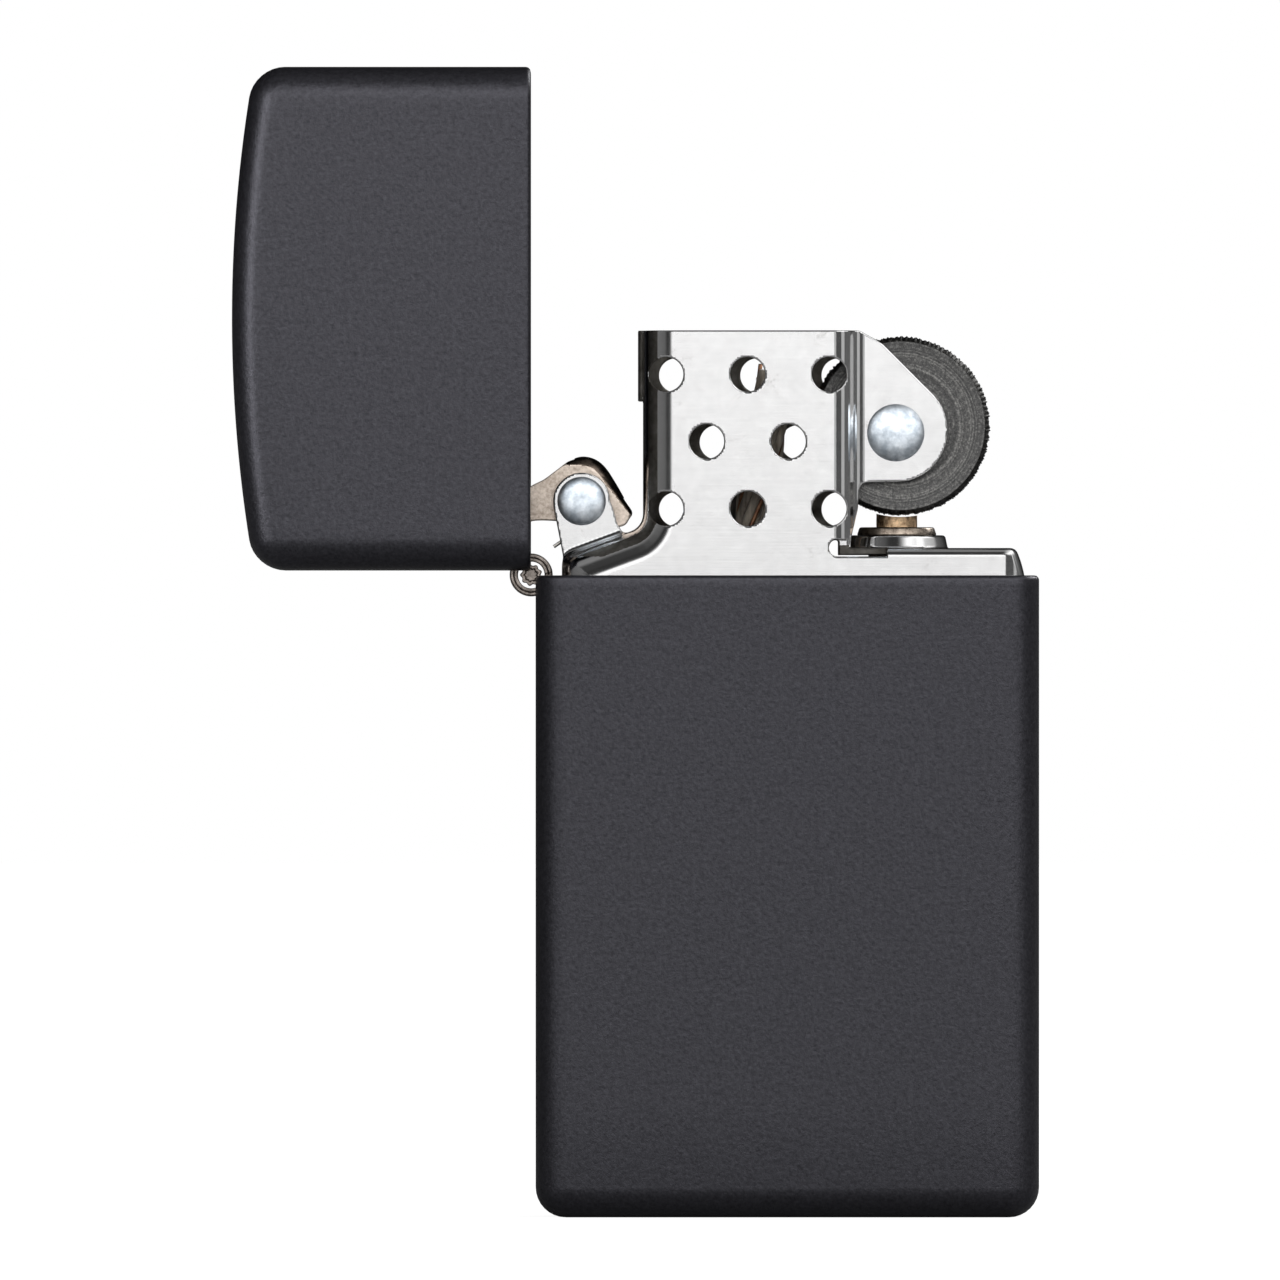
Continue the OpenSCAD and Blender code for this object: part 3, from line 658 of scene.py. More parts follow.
FAR = 40.0              # outlines run out to here where other shapes cut them off
SHOULDER_OUTLINE = fillet_profile([
    (INSERT_X0, 0, 0), (INSERT_X0, 39.4, 1.0), (CHIMNEY_X, 41.15, 1.1),
    (CHIMNEY_X, 2 * FAR, 0), (FAR, 2 * FAR, 0), (FAR, 0, 0)])
NECK_PLAN = fillet_profile([
    (-FAR, -FAR, 0), (-FAR, INSERT_Y, 0), (3.55, INSERT_Y, 1.22),
    (4.06, EAR_Y, 0.82), (FAR, EAR_Y, 0), (FAR, -FAR, 0)])
EAR_START, EAR_END = 42, -88
EAR_SHOULDER = arc_points(EAR_CENTRE, EAR_R, EAR_START, EAR_START, 1)[0]
CHIMNEY_FRONT = (
    fillet_profile([(-FAR, CHIMNEY_TOP, 0), (4.3, CHIMNEY_TOP, 0.5), (5.6, 52.12, 1.6), (*EAR_SHOULDER, 0),
                    (-FAR, 0, 0)])[:-2]
    + arc_points(EAR_CENTRE, EAR_R, EAR_START, EAR_END)
    + [(4.75, 43.78), (4.45, 43.7), (4.3, 43.4), (4.2, 42.2), (3.83, 40.6), (3.7, 39.0), (3.7, 0), (-FAR, 0)])
END_SLOPE = tan(radians(22))
RELIEF_X0, RELIEF_X1, RELIEF_R = 2.97, 5.92, 0.5        # the cut that frees the neck from the deck
BOSS_R, BOSS_TAPER = 3.05, 0.22
SHEARED = 0.07          # radius left on the sheet's cut edges
SEAM_H = 4.2
DECK_FRONT = fillet_profile([
    (-13.0, 20, 0), (-13.0, 37.4, 0.3), (2.2, 37.4, 0.3), (2.3, DECK_Z, 0.3),
    (INSERT_X1 - (DECK_Z - CASE_H) * END_SLOPE, DECK_Z, 0.5), (INSERT_X1, CASE_H, 0), (INSERT_X1, 20, 0)])
CAM_EAR_FRONT = (
    [(INSERT_X0, 38.0), (INSERT_X0, 39.3), (-13.54, 40.3)]
    + arc_points((CAM_X, CAM_Z), 1.71, 188, 0)
    + [(-10.36, 42.20), (-10.13, 41.35), (-9.8, 40.75), (-9.4, 40.3), (-9.4, 38.0)])


def box_field(u, v, low_u, high_u, low_v, high_v):
    return np.maximum(np.maximum(low_u - u, u - high_u), np.maximum(low_v - v, v - high_v))


def rounded_plan(x, y, inset):
    """Signed distance to the container's plan, drawn in by inset."""
    cx = (INSERT_X0 + INSERT_X1) / 2
    r = INSERT_CORNER_R
    qx = np.abs(x - cx) - ((INSERT_X1 - INSERT_X0) / 2 - r)
    qy = np.abs(y) - (INSERT_Y - r)
    return np.hypot(np.maximum(qx, 0), np.maximum(qy, 0)) + np.minimum(np.maximum(qx, qy), 0) - r + inset


def insert_field(x, y, z):
    """The insert above the rim: chimney and shoulder, right deck, ears and boss, all of one sheet."""
    a = np.abs(y)
    neck = polygon_field(NECK_PLAN, x, a)
    outline = polygon_field(SHOULDER_OUTLINE, x, z)
    front = polygon_field(CHIMNEY_FRONT, x, z)
    deck = polygon_field(DECK_FRONT, x, z)
    chimney = cut(cut(neck, outline, ROLL_R), front, SHEARED)
    container = cut(rounded_plan(x, y, 0), deck, 0.45)
    hollow = cut(neck + SHEET, outline + SHEET, ROLL_R - SHEET)
    hollow = np.maximum(hollow, -np.maximum(3.2 - x, z - DECK_Z))
    hollow_below = cut(rounded_plan(x, y, SHEET), deck + SHEET, 0.1)
    shell = cut(np.minimum(chimney, container), -np.minimum(hollow, hollow_below), SHEARED)
    # the slot under the cam, then the two ears that stand beside it
    shell = np.maximum(shell, -np.maximum(np.maximum(x + 9.45, CASE_H + 0.35 - z), a - CAM_EAR_Y + SHEET))
    ear = cut(polygon_field(CAM_EAR_FRONT, x, z), np.maximum(a - CAM_EAR_Y, CAM_EAR_Y - SHEET - a), 0.08)
    shell = join(shell, ear, 0.3)
    # the lapped seam at the chimney's closed end
    lap = box_field(x, z, CHIMNEY_X - 0.3, CHIMNEY_X + 0.2, CHIMNEY_TOP - SEAM_H, CHIMNEY_TOP)
    shell = np.minimum(shell, cut(lap, a - 2.5, 0.24))
    # the boss round the flint tube
    radius = np.hypot(x - FLINT_X, y)
    height = z - DECK_Z
    boss = cut(radius - BOSS_R + height * BOSS_TAPER, np.maximum(height - BOSS_H, -0.3 - height), 0.16)
    shell = join(shell, boss, 0.14)
    shell = np.maximum(shell, TUBE_R - radius)
    relief = np.minimum(np.hypot(x - RELIEF_X0, z - DECK_Z) - RELIEF_R,
                        box_field(x, z, RELIEF_X0, RELIEF_X1, DECK_Z - RELIEF_R, DECK_Z + RELIEF_R))
    shell = cut(shell, -np.maximum(relief, INSERT_Y - SHEET - a), 0.05)
    for hole_x, hole_z in HOLES:
        shift = np.where(y > 0, HOLES_BACK, 0)
        shell = cut(shell, HOLE_R - np.hypot(x - hole_x - shift, z - hole_z), 0.08)
    return shell


INSERT_SPLIT = 36.5
insert_top = field_object(
    "insert_top", insert_field, (INSERT_X0 - 1.0, -INSERT_Y - 0.4, INSERT_SPLIT),
    (INSERT_X1 + 0.5, INSERT_Y + 0.4, CHIMNEY_TOP + 0.4), 0.1, STEEL, "case", "insert_shell")


def painted_shade_faces(x, y, z, normals):
    """The faces that get painted shade: the chimney's inside, the slot that frees its neck, and the lapped
    seam.
    """
    a = np.abs(y)
    depth = np.maximum(polygon_field(NECK_PLAN, x, a), polygon_field(SHOULDER_OUTLINE, x, z))
    inside = (depth < -0.8 * SHEET) & (x < EAR_CENTRE[0] - 2.5) & (z > DECK_Z - 0.5)
    slot = (x > 2.45) & (x < 5.97) & (np.abs(z - DECK_Z + 0.2) < 0.32)
    slot &= (a < INSERT_Y - 0.02) & (a > INSERT_Y - 1)
    seam = (x < CHIMNEY_X - 0.02) & (z > CHIMNEY_TOP - SEAM_H - 0.1)
    return inside | slot | seam


# Painted shade: darker steel on the chimney's inside, the neck's slot and the lapped seam.
second_finish(insert_top, PAINTED_SHADE_STEEL, painted_shade_faces)


def insert_lower():
    """The insert's container below the split, open underneath."""
    foot, waist, top, edge = insert_low[2], 20.0, INSERT_SPLIT + 0.05, 0.1
    rows = [(0.0, top), (0.0, waist), (0.0, foot + edge), (edge, foot),
            (SHEET - edge, foot), (SHEET, foot + edge), (SHEET, waist), (SHEET, top)]
    centre = (INSERT_X0 + INSERT_X1) / 2
    verts = [(x + centre, y, z) for inset, z in rows
             for x, y in plan_ring(inset, INSERT_X1 - INSERT_X0, 2 * INSERT_Y, INSERT_CORNER_R)]
    faces = stitch(len(rows), len(verts) // len(rows))
    clean(mesh_object("insert_container", verts, faces, STEEL, "case", "insert_shell"), 40)


insert_lower()


# -------- rivets, wheel and cam

def dome_rivet(name, x, z, shaft_r, head_r, head_h, half, node):
    """A rivet along Y with a domed head at each end."""
    power, steps = 2.5, 18      # a power of 2 would be a plain ellipse
    head = []
    for k in range(steps + 1):
        angle = pi / 2 * k / steps
        head.append((head_r * sin(angle) ** (2 / power), half + head_h * cos(angle) ** (2 / power)))
    head += [(head_r - 0.03, half - 0.01), (shaft_r, half - 0.01)]
    lathe(name, mirrored(head), (x, 0, z), "y", RIVET, "case", node)


dome_rivet("wheel_rivet_domed", AXLE_X, AXLE_Z, shaft_r=0.75, head_r=1.71, head_h=0.62,
           half=EAR_Y, node="wheel_rivet")
dome_rivet("cam_rivet_domed", CAM_X, CAM_Z, shaft_r=0.8, head_r=1.45, head_h=0.6,
           half=CAM_EAR_Y, node="cam_rivet")


def spark_wheel():
    """The wheel: turned faces, and a rim cut crosswise into small uneven teeth."""
    random.seed(4)
    teeth = 116
    across = 20
    around = teeth * 4
    depth, chamfer = 0.2, 0.26
    chip = [random.uniform(0.45, 1.1) for _ in range(teeth * 3)]
    faces_profile = [(1.32, 0.0), (1.42, 0.06), (2.0, 0.08), (3.4, 0.08), (4.6, 0.05), (5.02, 0.0)]
    rows = [(r, -WHEEL_HALF + d, 0.0) for r, d in faces_profile]
    for k in range(across + 1):
        rows.append((WHEEL_R, -WHEEL_HALF + chamfer + 2 * (WHEEL_HALF - chamfer) * k / across, 1.0))
    rows += [(r, WHEEL_HALF - d, 0.0) for r, d in reversed(faces_profile)]

    def saw(t):
        t = t % 1.0
        return t / 0.7 if t < 0.7 else (1 - t) / 0.3

    verts = []
    for i in range(around):
        angle = 2 * pi * i / around
        turn = i / around * teeth
        for r, y, knurl in rows:
            if knurl:
                lean = y * 0.15
                tooth = int(turn) % teeth
                band = int((y + WHEEL_HALF) / (2 * WHEEL_HALF) * 2.99)
                ridge = 0.75 * saw(turn + lean) + 0.25 * saw(turn - lean)
                r = r - depth * (1 - ridge * chip[tooth * 3 + band])
            verts.append((WHEEL_X + r * cos(angle), y, WHEEL_Z + r * sin(angle)))
    faces = stitch(around, len(rows), looped=True)
    wheel = clean(mesh_object("knurled_wheel", verts, faces, WHEEL, "wheel", "flint_wheel"), 50)
    # Painted shade on the rim's faces, beyond 5 mm from the wheel's centre.
    second_finish(wheel, WHEEL_RIM_SHADE, lambda x, y, z, normals: np.hypot(x - WHEEL_X, z - WHEEL_Z) > 5.0)


spark_wheel()


def smooth_outline(points, steps=6):
    """A closed curve through points."""
    out = []
    n = len(points)
    for i in range(n):
        p0, p1, p2, p3 = (np.array(points[(i + k - 1) % n], float) for k in range(4))
        for k in range(steps):
            t = k / steps
            out.append(tuple(0.5 * (2 * p1 + (p2 - p0) * t + (2 * p0 - 5 * p1 + 4 * p2 - p3) * t * t
                                    + (3 * p1 - p0 - 3 * p2 + p3) * t ** 3)))
    return out


# Hump over the rivet, heel at the right, belly under the rivet, arm and tip inside the lid.
CAM_FRONT = smooth_outline([
    (-16.0, 43.05), (-15.21, 43.62), (-14.5, 43.98), (-13.72, 44.56), (-13.0, 45.08), (-12.26, 45.34),
    (-11.5, 45.20), (-10.85, 44.70), (-10.2, 43.72), (-9.6, 42.66), (-9.24, 42.02), (-9.42, 41.62),
    (-9.72, 41.24), (-10.4, 41.12), (-11.6, 41.12), (-12.8, 41.3), (-13.8, 41.5), (-15.2, 41.5),
    (-15.75, 41.1), (-16.15, 40.86), (-16.38, 41.2), (-16.42, 42.1)])


def web_side(x, z):
    """How far a point lies on the web's side of the slanting line where the web begins."""
    return (x - CAM_X) * 0.62 + (z - CAM_Z - 0.66) * 0.78 - 1.15


def cam_field(x, y, z):
    """Two cheeks joined by a web that rolls over their upper right edge."""
    a = np.abs(y)
    outline = polygon_field(CAM_FRONT, x, z)
    web = web_side(x, z)
    solid = cut(outline, a - CAM_HALF, 0.08 + 0.7 * np.clip(web + 0.75, 0, 1))
    hollow = np.maximum(a - CAM_HALF + 0.45, np.minimum(outline + 0.5, web))
    bore = np.hypot(x - CAM_X, z - CAM_Z) - 0.85
    return np.maximum(cut(solid, -hollow, 0.08), -bore)


folded_cam = field_object("folded_cam", cam_field, (-17.2, -2.2, 39.9), (-8.8, 2.2, 45.8), 0.07,
                          CAM, "cam", "cam")


# The bent faces along the web, which get painted shade.
def folded_edge(x, y, z, normals):
    bent = np.abs(normals[:, 1]) < 0.985
    return (web_side(x, z) > -0.5) & bent & (polygon_field(CAM_FRONT, x, z) > -0.55)


second_finish(folded_cam, CAM_EDGE_SHADE, folded_edge)


# -------- hinge

def hinge_part(name, up, first, body, node, matrix):
    """A leaf with every second knuckle of the barrel, rolled from one strip."""
    pitch = HINGE_L / KNUCKLES
    leaf_x = -CASE_W / 2 + CASE_WALL
    leaf_t = 0.38
    reach = 2.9 if up > 0 else 4.6
    gap = 0.04
    bm = bmesh.new()

    def block(y0, y1, near, far):
        """Part of the leaf, between two distances from the hinge's line."""
        z0, z1 = sorted((HINGE_Z + up * near, HINGE_Z + up * far))
        low, high = (leaf_x, y0, z0), (leaf_x + leaf_t, y1, z1)
        for v in bmesh.ops.create_cube(bm, size=1)["verts"]:
            v.co = [a + (c + 0.5) * (b - a) for a, b, c in zip(low, high, v.co)]

    block(-HINGE_L / 2, HINGE_L / 2, NOTCH, reach)
    for i in range(first, KNUCKLES, 2):
        y0 = -HINGE_L / 2 + i * pitch + (gap if i > 0 else 0)
        y1 = -HINGE_L / 2 + (i + 1) * pitch - (gap if i < KNUCKLES - 1 else 0)
        block(y0, y1, 0, NOTCH)
        # the strip rolls round the pin, and its end stops just short of the leaf
        steps, chamfer = 56, 0.09
        inner = PIN_R + 0.12
        lap, lap_deep = 1.03, 0.16
        end = [(inner, 0.05), (inner + 0.05, 0), (lap - 0.04, 0), (lap - 0.02, lap_deep),
               (lap + 0.02, lap_deep), (lap + 0.04, 0), (BARREL_R - chamfer, 0), (BARREL_R, chamfer)]
        section = [(r, y0 + deep) for r, deep in end] + [(r, y1 - deep) for r, deep in reversed(end)]
        rings = []
        for k in range(steps + 1):
            angle = radians(8 - up * 344 * k / steps)
            rings.append([bm.verts.new((HINGE_X + r * cos(angle), y, HINGE_Z + r * sin(angle)))
                          for r, y in section])
        for a, b in zip(rings, rings[1:]):
            for j in range(len(section)):
                m = (j + 1) % len(section)
                bm.faces.new((a[j], a[m], b[m], b[j]))
        bm.faces.new(rings[0])
        bm.faces.new(rings[-1])
    mesh = bpy.data.meshes.new(name)
    bmesh.ops.recalc_face_normals(bm, faces=bm.faces)
    for face in bm.faces:
        face.smooth = True
    bmesh.ops.scale(bm, vec=(MM, MM, MM), verts=bm.verts)
    bm.to_mesh(mesh)
    bm.free()
    mesh.transform(matrix)
    obj = piece(name, mesh, HINGE, body, node)
    soften_edges(obj, 0.04)
    clean(obj, 30)


hinge_part("case_leaf", -1, 0, "case", "hinge_leaf_case", Matrix.Identity(4))
hinge_part("lid_leaf", 1, 1, "lid", "hinge_leaf_lid", rotated(HINGE_X, HINGE_Z, -90))


def serrated(r, h, angle):
    """The pin's end is cut like a small gear."""
    edge = 0.5 + 0.5 * cos(9 * angle)
    return (r * (1 - 0.16 * edge) if 0.3 < r else r), h


pin_end = HINGE_L / 2 - 0.05
lathe("pin", mirrored([(0, pin_end - 0.22), (0.34, pin_end - 0.2), (0.46, pin_end), (PIN_R - 0.08, pin_end),
                       (PIN_R - 0.02, pin_end - 0.06)]),
      (HINGE_X, 0, HINGE_Z), "y", HINGE, "case", "hinge_pin", serrated)


# -------- flint, tube and screw

collar_z = DECK_Z + BOSS_H
lathe("flint_guide", fillet_profile([
    (TUBE_R - 0.4, tube_low[2], 0), (TUBE_R, tube_low[2], 0.1), (TUBE_R, collar_z, 0), (2.38, collar_z, 0.06),
    (2.22, collar_z + 0.48, 0.16), (1.3, collar_z + 0.46, 0.08), (1.3, tube_low[2], 0)], 5),
    (FLINT_X, 0, 0), "z", plain_metal("tube_steel", (0.10, 0.08, 0.065), (0.34, 0.29, 0.24), 0.3),
    "case", "flint_tube")


def flint_piece():
    """The flint: a pressed rod whose top the wheel has worn hollow."""
    random.seed(11)
    steps, rows, rings = 56, 26, 5
    gap = 0.03                  # between the hollow and the wheel

    def worn(x):
        return WHEEL_Z - sqrt((WHEEL_R + gap) ** 2 - (x - WHEEL_X) ** 2)

    low = flint_low[2]
    angles = [2 * pi * i / steps for i in range(steps)]
    verts = []
    for angle in angles:
        ridge = 1 + 0.012 * sin(5 * angle) + random.uniform(-0.006, 0.006)
        for k in range(rows):
            t = k / (rows - 1)
            r = FLINT_R * min(ridge, 1.0) * (1 - 0.004 * sin(40 * t))
            x, y = FLINT_X + r * cos(angle), r * sin(angle)
            verts.append((x, y, low + (worn(x) - low) * t))
    base = len(verts)
    for angle in angles:
        for k in range(1, rings + 1):
            r = FLINT_R * (1 - k / rings) * 0.98
            x, y = FLINT_X + r * cos(angle), r * sin(angle)
            verts.append((x, y, worn(x)))
    faces = stitch(steps, rows, closed=False, looped=True)
    faces += stitch(steps, rings, closed=False, looped=True, start=base)
    for i in range(steps):
        n = (i + 1) % steps
        faces.append((i * rows + rows - 1, n * rows + rows - 1, base + n * rings, base + i * rings))
    faces.append([i * rows for i in range(steps)])
    clean(mesh_object("flint_rod", verts, faces, FLINT, "flint_stack", "flint"), 40, merge=1e-6)


flint_piece()


# -------- strands and springs

def tube_along(points, radius, sides, verts, faces):
    """Adds a round strand along a line of points."""
    start = len(verts)
    points = [Vector(p) for p in points]
    for i, p in enumerate(points):
        ahead = (points[min(i + 1, len(points) - 1)] - points[max(i - 1, 0)]).normalized()
        side = ahead.cross(Vector((0.3, 1, 0.1))).normalized()
        other = ahead.cross(side)
        for k in range(sides):
            a = 2 * pi * k / sides
            verts.append(p + radius * (cos(a) * side + sin(a) * other))
    faces += stitch(len(points), sides, start=start)
    faces.append([start + k for k in reversed(range(sides))])
    faces.append([start + (len(points) - 1) * sides + k for k in range(sides)])


def flint_coil():
    """The coil spring under the flint, drawn at one length; in the lighter it shortens by the flint's travel,
    towards the screw.
    """
    low, high = node_box("flint_spring")
    wire = 0.17
    radius = (high[0] - low[0]) / 2 - wire
    turns, per_turn = 22, 20
    line = []
    for i in range(turns * per_turn + 1):
        t = i / (turns * per_turn)
        angle = 2 * pi * turns * t
        z = low[2] + wire + (high[2] - low[2] - 2 * wire) * t
        line.append((FLINT_X + radius * cos(angle), radius * sin(angle), z))
    verts, faces = [], []
    tube_along(line, wire, 8, verts, faces)
    coil = clean(mesh_object("flint_coil", verts, faces, BLUED, "case", "flint_spring"), 50)
    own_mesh(coil)


def cam_strip():
    """The strip spring, drawn in one shape: its foot on the end wall, a turn inside the container, a bow
    under the cam and a free tip. In the lighter the cam's heel presses it down as the lid shuts."""
    half_t, half_w, edge = 0.1, 1.1, 0.04
    rivet_low, rivet_high = node_box("cam_spring_rivet")
    foot_x, foot_z = INSERT_X0 + SHEET + half_t, (rivet_low[2] + rivet_high[2]) / 2
    turn_r, turn_z, bow_r, tip_l, lean = 0.9, 28.0, 1.1, 1.4, 35
    bow = (foot_x + 2 * turn_r - bow_r, CAM_Z - 1.72 - bow_r)
    line = [(foot_x, foot_z + 1), (foot_x, foot_z), (foot_x, foot_z - 1)]
    line += arc_points((foot_x + turn_r, turn_z), turn_r, 180, 360, 16)
    line += [(foot_x + 2 * turn_r, turn_z + (bow[1] - turn_z) * k / 6) for k in range(1, 6)]
    line += arc_points(bow, bow_r, 0, 90 + lean, 20)
    end, slope = line[-1], radians(lean)
    for k in range(1, 5):
        along = tip_l * k / 4
        line.append((end[0] - along * cos(slope), end[1] - along * sin(slope)))
    section = [(-half_t, -half_w + edge), (-half_t, half_w - edge),
               (-half_t + edge, half_w), (half_t - edge, half_w)]
    section += [(-t, -w) for t, w in section]
    verts = []
    for i, (x, z) in enumerate(line):
        ax, az = line[max(i - 1, 0)]
        bx, bz = line[min(i + 1, len(line) - 1)]
        length = hypot(bx - ax, bz - az)
        across = ((bz - az) / length, -(bx - ax) / length)
        verts += [(x + across[0] * t, y, z + across[1] * t) for t, y in section]
    n = len(section)
    faces = stitch(len(line), n)
    faces.append(list(range(n)))
    faces.append([(len(line) - 1) * n + j for j in reversed(range(n))])
    strip = clean(mesh_object("cam_strip", verts, faces, BLUED, "case", "cam_spring"), 50)
    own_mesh(strip)


flint_coil()
cam_strip()


# -------- wick, packing and felt

def wick_strands():
    """Cotton strands twisted together round copper wires; the free end is uneven."""
    random.seed(7)
    low, high = wick_low[2], wick_high[2]
    cotton, wires = ([], []), ([], [])
    layers = [(1, 0.0), (6, 0.5), (11, 0.95)]
    for count, r in layers:
        for k in range(count):
            is_wire = r > 0.4 and k % 4 == 1
            top = high + (0.25 if is_wire else random.uniform(-0.9, 0.0))
            phase = 2 * pi * k / count + random.uniform(-0.1, 0.1)
            steps = 60
            line = []
            for i in range(steps + 1):
                z = low + (top - low) * i / steps
                a = phase + 0.28 * (z - low) * (1 if r > 0.7 else -1)
                flare = r * (1 + 0.10 * max(0.0, (z - high + 3) / 3) ** 2)
                lean = WICK_LEAN * max(0.0, z - DECK_Z)
                line.append((WICK_X + lean + flare * cos(a), flare * sin(a), z))
            out = wires if is_wire else cotton
            tube_along(line, 0.13 if is_wire else 0.27, 6 if is_wire else 8, *out)
    mesh_object("wick_strands", *cotton, COTTON, "case", "wick")
    mesh_object("wick_copper", *wires, COPPER, "case", "wick_wires")


wick_strands()


def wadding(name, node, seed):
    """A pad of packing: a soft block, crowned and lumpy, with the wick's channel through it."""
    low, high = node_box(node)
    rng = np.random.default_rng(seed)
    lump_count, corner_r = 26, 1.6
    lumps = rng.uniform(low, high, (lump_count, 3))
    size = rng.uniform(0.8, 1.8, lump_count)
    half = (high - low) / 2
    centre = (high + low) / 2

    def field(x, y, z):
        q = [np.abs(p - c) - (h - corner_r) for p, c, h in zip((x, y, z), centre, half)]
        out = np.sqrt(sum(np.maximum(side, 0) ** 2 for side in q))
        body = out + np.minimum(np.maximum(np.maximum(q[0], q[1]), q[2]), 0) - corner_r
        for (px, py, pz), s in zip(lumps, size):
            body = body + 0.22 * np.exp(-((x - px) ** 2 + (y - py) ** 2 + (z - pz) ** 2) / (s * s))
        channel = WICK_R + 0.12 - np.hypot(x - WICK_X, y)
        return cut(body, channel, 0.5)

    field_object(name, field, low - 0.4, high + 0.4, 0.4, WADDING, "case", node)


for number in range(1, 6):
    wadding(f"cotton_{number}", f"packing_ball_{number}", number)


def felt():
    """The felt: a pressed pad with soft edges and a hole round the flint screw."""
    low, high = node_box("felt_pad")

    def field(x, y, z):
        plan = rounded_plan(x, y, SHEET + 0.1)
        slab = np.abs(z - (low[2] + high[2]) / 2) - (high[2] - low[2]) / 2
        hole = 2.3 - np.hypot(x - FLINT_X, y)
        ripple = 0.05 * np.sin(2.1 * x + 1.3 * np.sin(1.7 * y)) * np.cos(1.9 * y)
        return cut(cut(plan, slab + np.maximum(ripple, 0), 0.45), hole, 0.3)

    field_object("felt", field, low - 0.3, high + 0.3, 0.25, FELT, "case", "felt_pad")


felt()


# -------- CAD pieces that stay as they are

for node, finish in (("cam_spring_rivet", RIVET), ("flint_plunger", BRASS), ("flint_screw", BRASS)):
    NODES[node].data.materials.clear()
    NODES[node].data.materials.append(finish)
    soften_edges(NODES[node], 0.03)


# -------- studio

# What a mirror would see at each angle from the camera: (degrees, brightness), to the right, to the
# left, above and below. Zero is the bright card that the camera looks through.
SURROUND = {
    "right": [(0, 1.2), (10, 1.2), (13, 0.05), (50, 0.04), (55, 0.5), (66, 0.6), (72, 0.10), (110, 0.12),
              (150, 0.02)],
    "left": [(0, 1.2), (10, 1.2), (17, 0.06), (28, 0.02), (36, 0.12), (60, 0.16), (95, 0.12), (105, 0.01)],
    "above": [(0, 1.2), (10, 1.2), (13, 0.05), (20, 0.03), (55, 0.03), (66, 0.22), (92, 0.18), (104, 0.01)],
    "below": [(0, 1.2), (10, 1.2), (13, 0.02), (90, 0.02), (120, 0.01)],
    "upper_right": [(20, 0.0), (34, 1.15), (98, 1.15), (108, 0.0)],
}


def studio_world():
    """A pale surround for the camera; for everything else, cards and flags fixed to the camera."""
    world = bpy.data.worlds.new("studio")
    bpy.context.scene.world = world
    world.use_nodes = True
    world.node_tree.nodes.clear()
    g = Graph(world.node_tree)
    towards = g.node("TexCoord").outputs["Camera"]
    unit = g.node("VectorMath", {"operation": "NORMALIZE"}, i0=towards).outputs[0]
    x, y, z = g.node("SeparateXYZ", Vector=unit).outputs

    def card(side):
        """The brightness at this direction's angle from the camera; the ramp runs from 0 to 180 degrees."""
        return g.ramp(from_camera, [(degrees / 180, value) for degrees, value in SURROUND[side]])

    from_camera = g.math("DIVIDE", g.math("ARCCOSINE", g.product(z, -1.0)), pi)
    across = g.math("ADD", g.blend((x, x), (y, y)), 1e-6)
    shares = []
    for side, part, sign in (("right", x, 1.0), ("left", x, -1.0), ("above", y, 1.0), ("below", y, -1.0)):
        reach = g.math("MAXIMUM", g.product(part, sign))
        shares.append((g.math("DIVIDE", g.product(reach, reach), across), card(side)))
    corner = g.product(g.math("MAXIMUM", x), g.math("MAXIMUM", y), 2.0)
    diagonal = g.math("DIVIDE", corner, across)
    shares.append((g.product(diagonal, diagonal), card("upper_right")))
    cards = g.node("Background", Color=g.blend(*shares)).outputs[0]
    pale = g.node("Background", Color=(1, 1, 1, 1)).outputs[0]
    seen = g.node("LightPath").outputs["Is Camera Ray"]
    g.node("OutputWorld", i0=g.node("MixShader", i0=seen, i1=cards, i2=pale).outputs[0])


studio_world()


def soft_light(name, place, size, height, power, lit_pieces, aim=(-5, 0, 35)):
    """A soft box at place, turned to aim, that lights only lit_pieces."""
    light = bpy.data.lights.new(name, "AREA")
    light.shape = "RECTANGLE"
    light.size = size * MM
    light.size_y = height * MM
    light.energy = power
    obj = link(name, light)
    obj.location = Vector(place) * MM
    obj.rotation_euler = (Vector(aim) * MM - obj.location).to_track_quat("-Z", "Y").to_euler()
    obj.light_linking.receiver_collection = lit_pieces


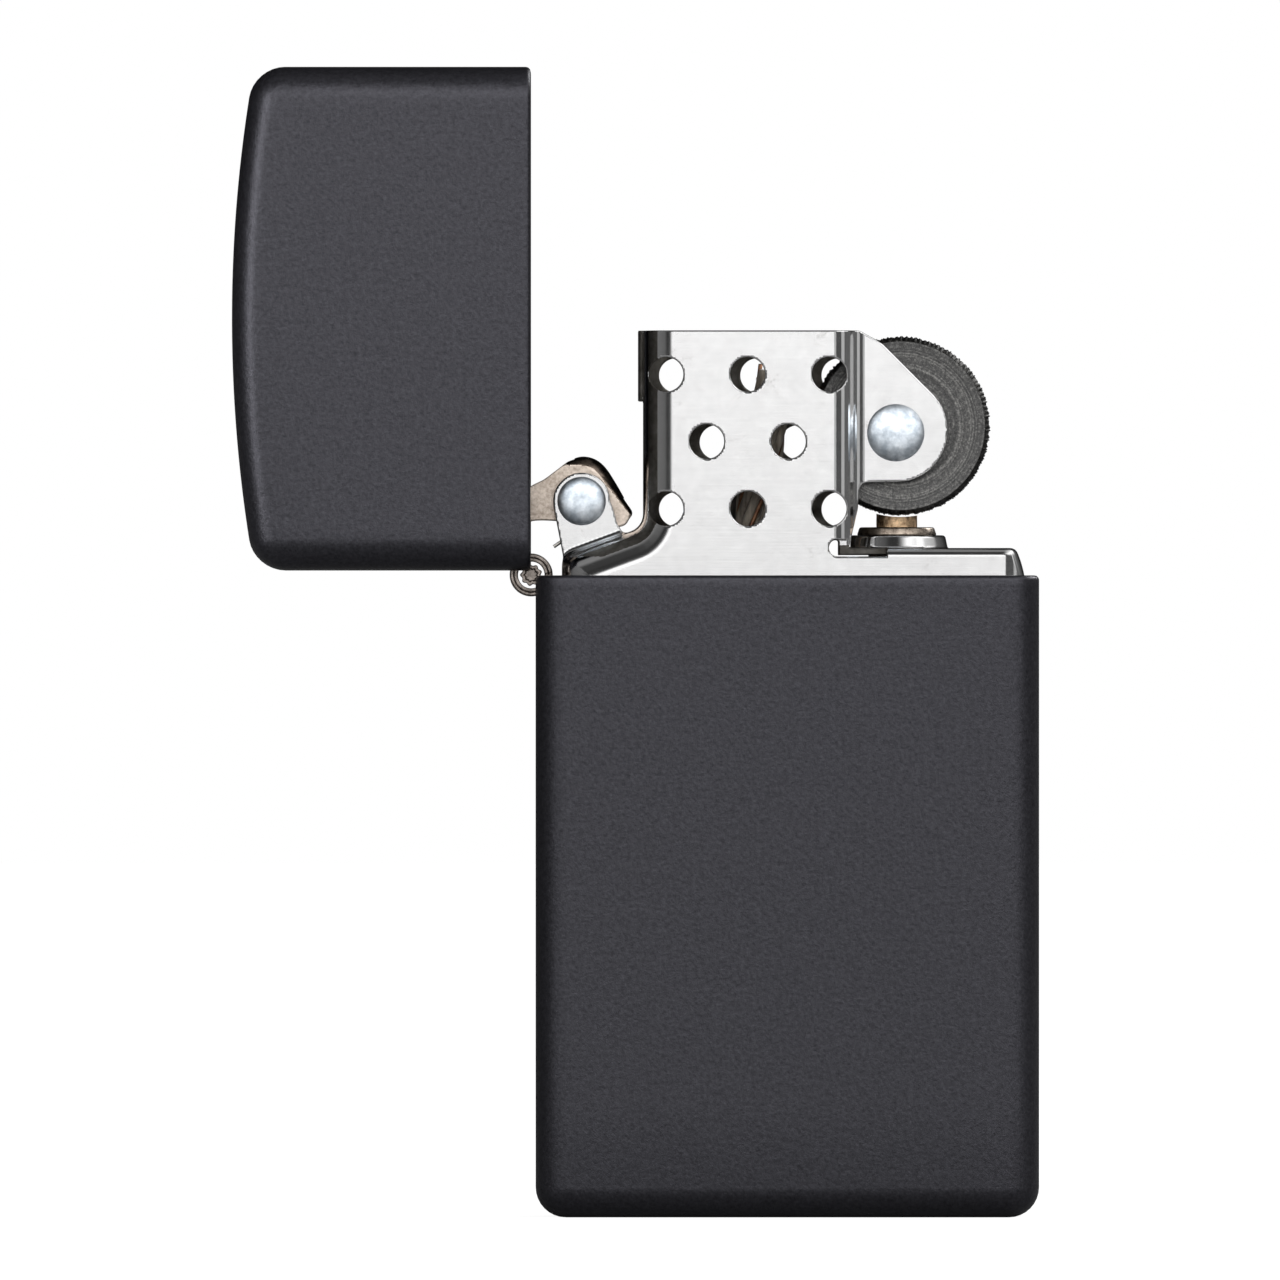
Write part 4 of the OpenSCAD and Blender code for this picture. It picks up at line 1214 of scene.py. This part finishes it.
def receivers(name, pieces):
    group = bpy.data.collections.new(name)
    for obj in pieces:
        group.objects.link(obj)
    return group


# The lamps leave out the sheet steel, which would only mirror them.
meshes = [obj for obj in bpy.context.scene.objects if obj.type == "MESH"]
lit = receivers("lit", [obj for obj in meshes if STEEL.name not in obj.data.materials])
crown = receivers("crown", [bpy.data.objects["lid"]])
soft_light("front", (-20, -420, 215), size=1100, height=360, power=3.2, lit_pieces=lit)
soft_light("rear", (480, 400, 420), size=300, height=250, power=2.4, lit_pieces=lit)
soft_light("strip", (-330, -260, 50), size=40, height=200, power=0.70, lit_pieces=crown, aim=(-32, 0, 47))

floor_mesh = bpy.data.meshes.new("floor")
half_floor = 3.0            # metres
corners = ((-1, -1), (1, -1), (1, 1), (-1, 1))
floor_mesh.from_pydata([(half_floor * x, half_floor * y, 0) for x, y in corners], [], [(0, 1, 2, 3)])
floor = link("floor", floor_mesh)
lit.objects.link(floor)
pale = Finish("pale_floor", roughness=0.9)
pale.set(Base_Color=pale.ramp(pale.noise(0.01), [(0.0, 0.19), (1.0, 0.21)]))
pale.shader.inputs["Emission Color"].default_value = (1, 1, 1, 1)
seen = pale.node("LightPath").outputs["Is Camera Ray"]
away = pale.node("VectorMath", {"operation": "LENGTH"}, i0=pale.coords).outputs["Value"]
glow = pale.node("MapRange", Value=away, From_Min=0.03, From_Max=0.2, To_Min=0.92, To_Max=1.0).outputs[0]
pale.tree.links.new(pale.math("MULTIPLY", seen, glow), pale.shader.inputs["Emission Strength"])
floor_mesh.materials.append(pale.material)


# The photograph's view: level and square on, from far away, so that upright edges stay parallel.
VIEW_W = 76.19
VIEW_CENTRE = (-8.78, 34.4)
camera_data = bpy.data.cameras.new("camera")
camera_data.lens = 900
camera_data.clip_end = 20
camera = link("camera", camera_data)
distance = VIEW_W * camera_data.lens / camera_data.sensor_width
camera.location = Vector((VIEW_CENTRE[0], -distance - CASE_D / 2, VIEW_CENTRE[1])) * MM
camera.rotation_euler = (pi / 2, 0, 0)
bpy.context.scene.camera = camera
bpy.context.scene.view_settings.view_transform = "Standard"
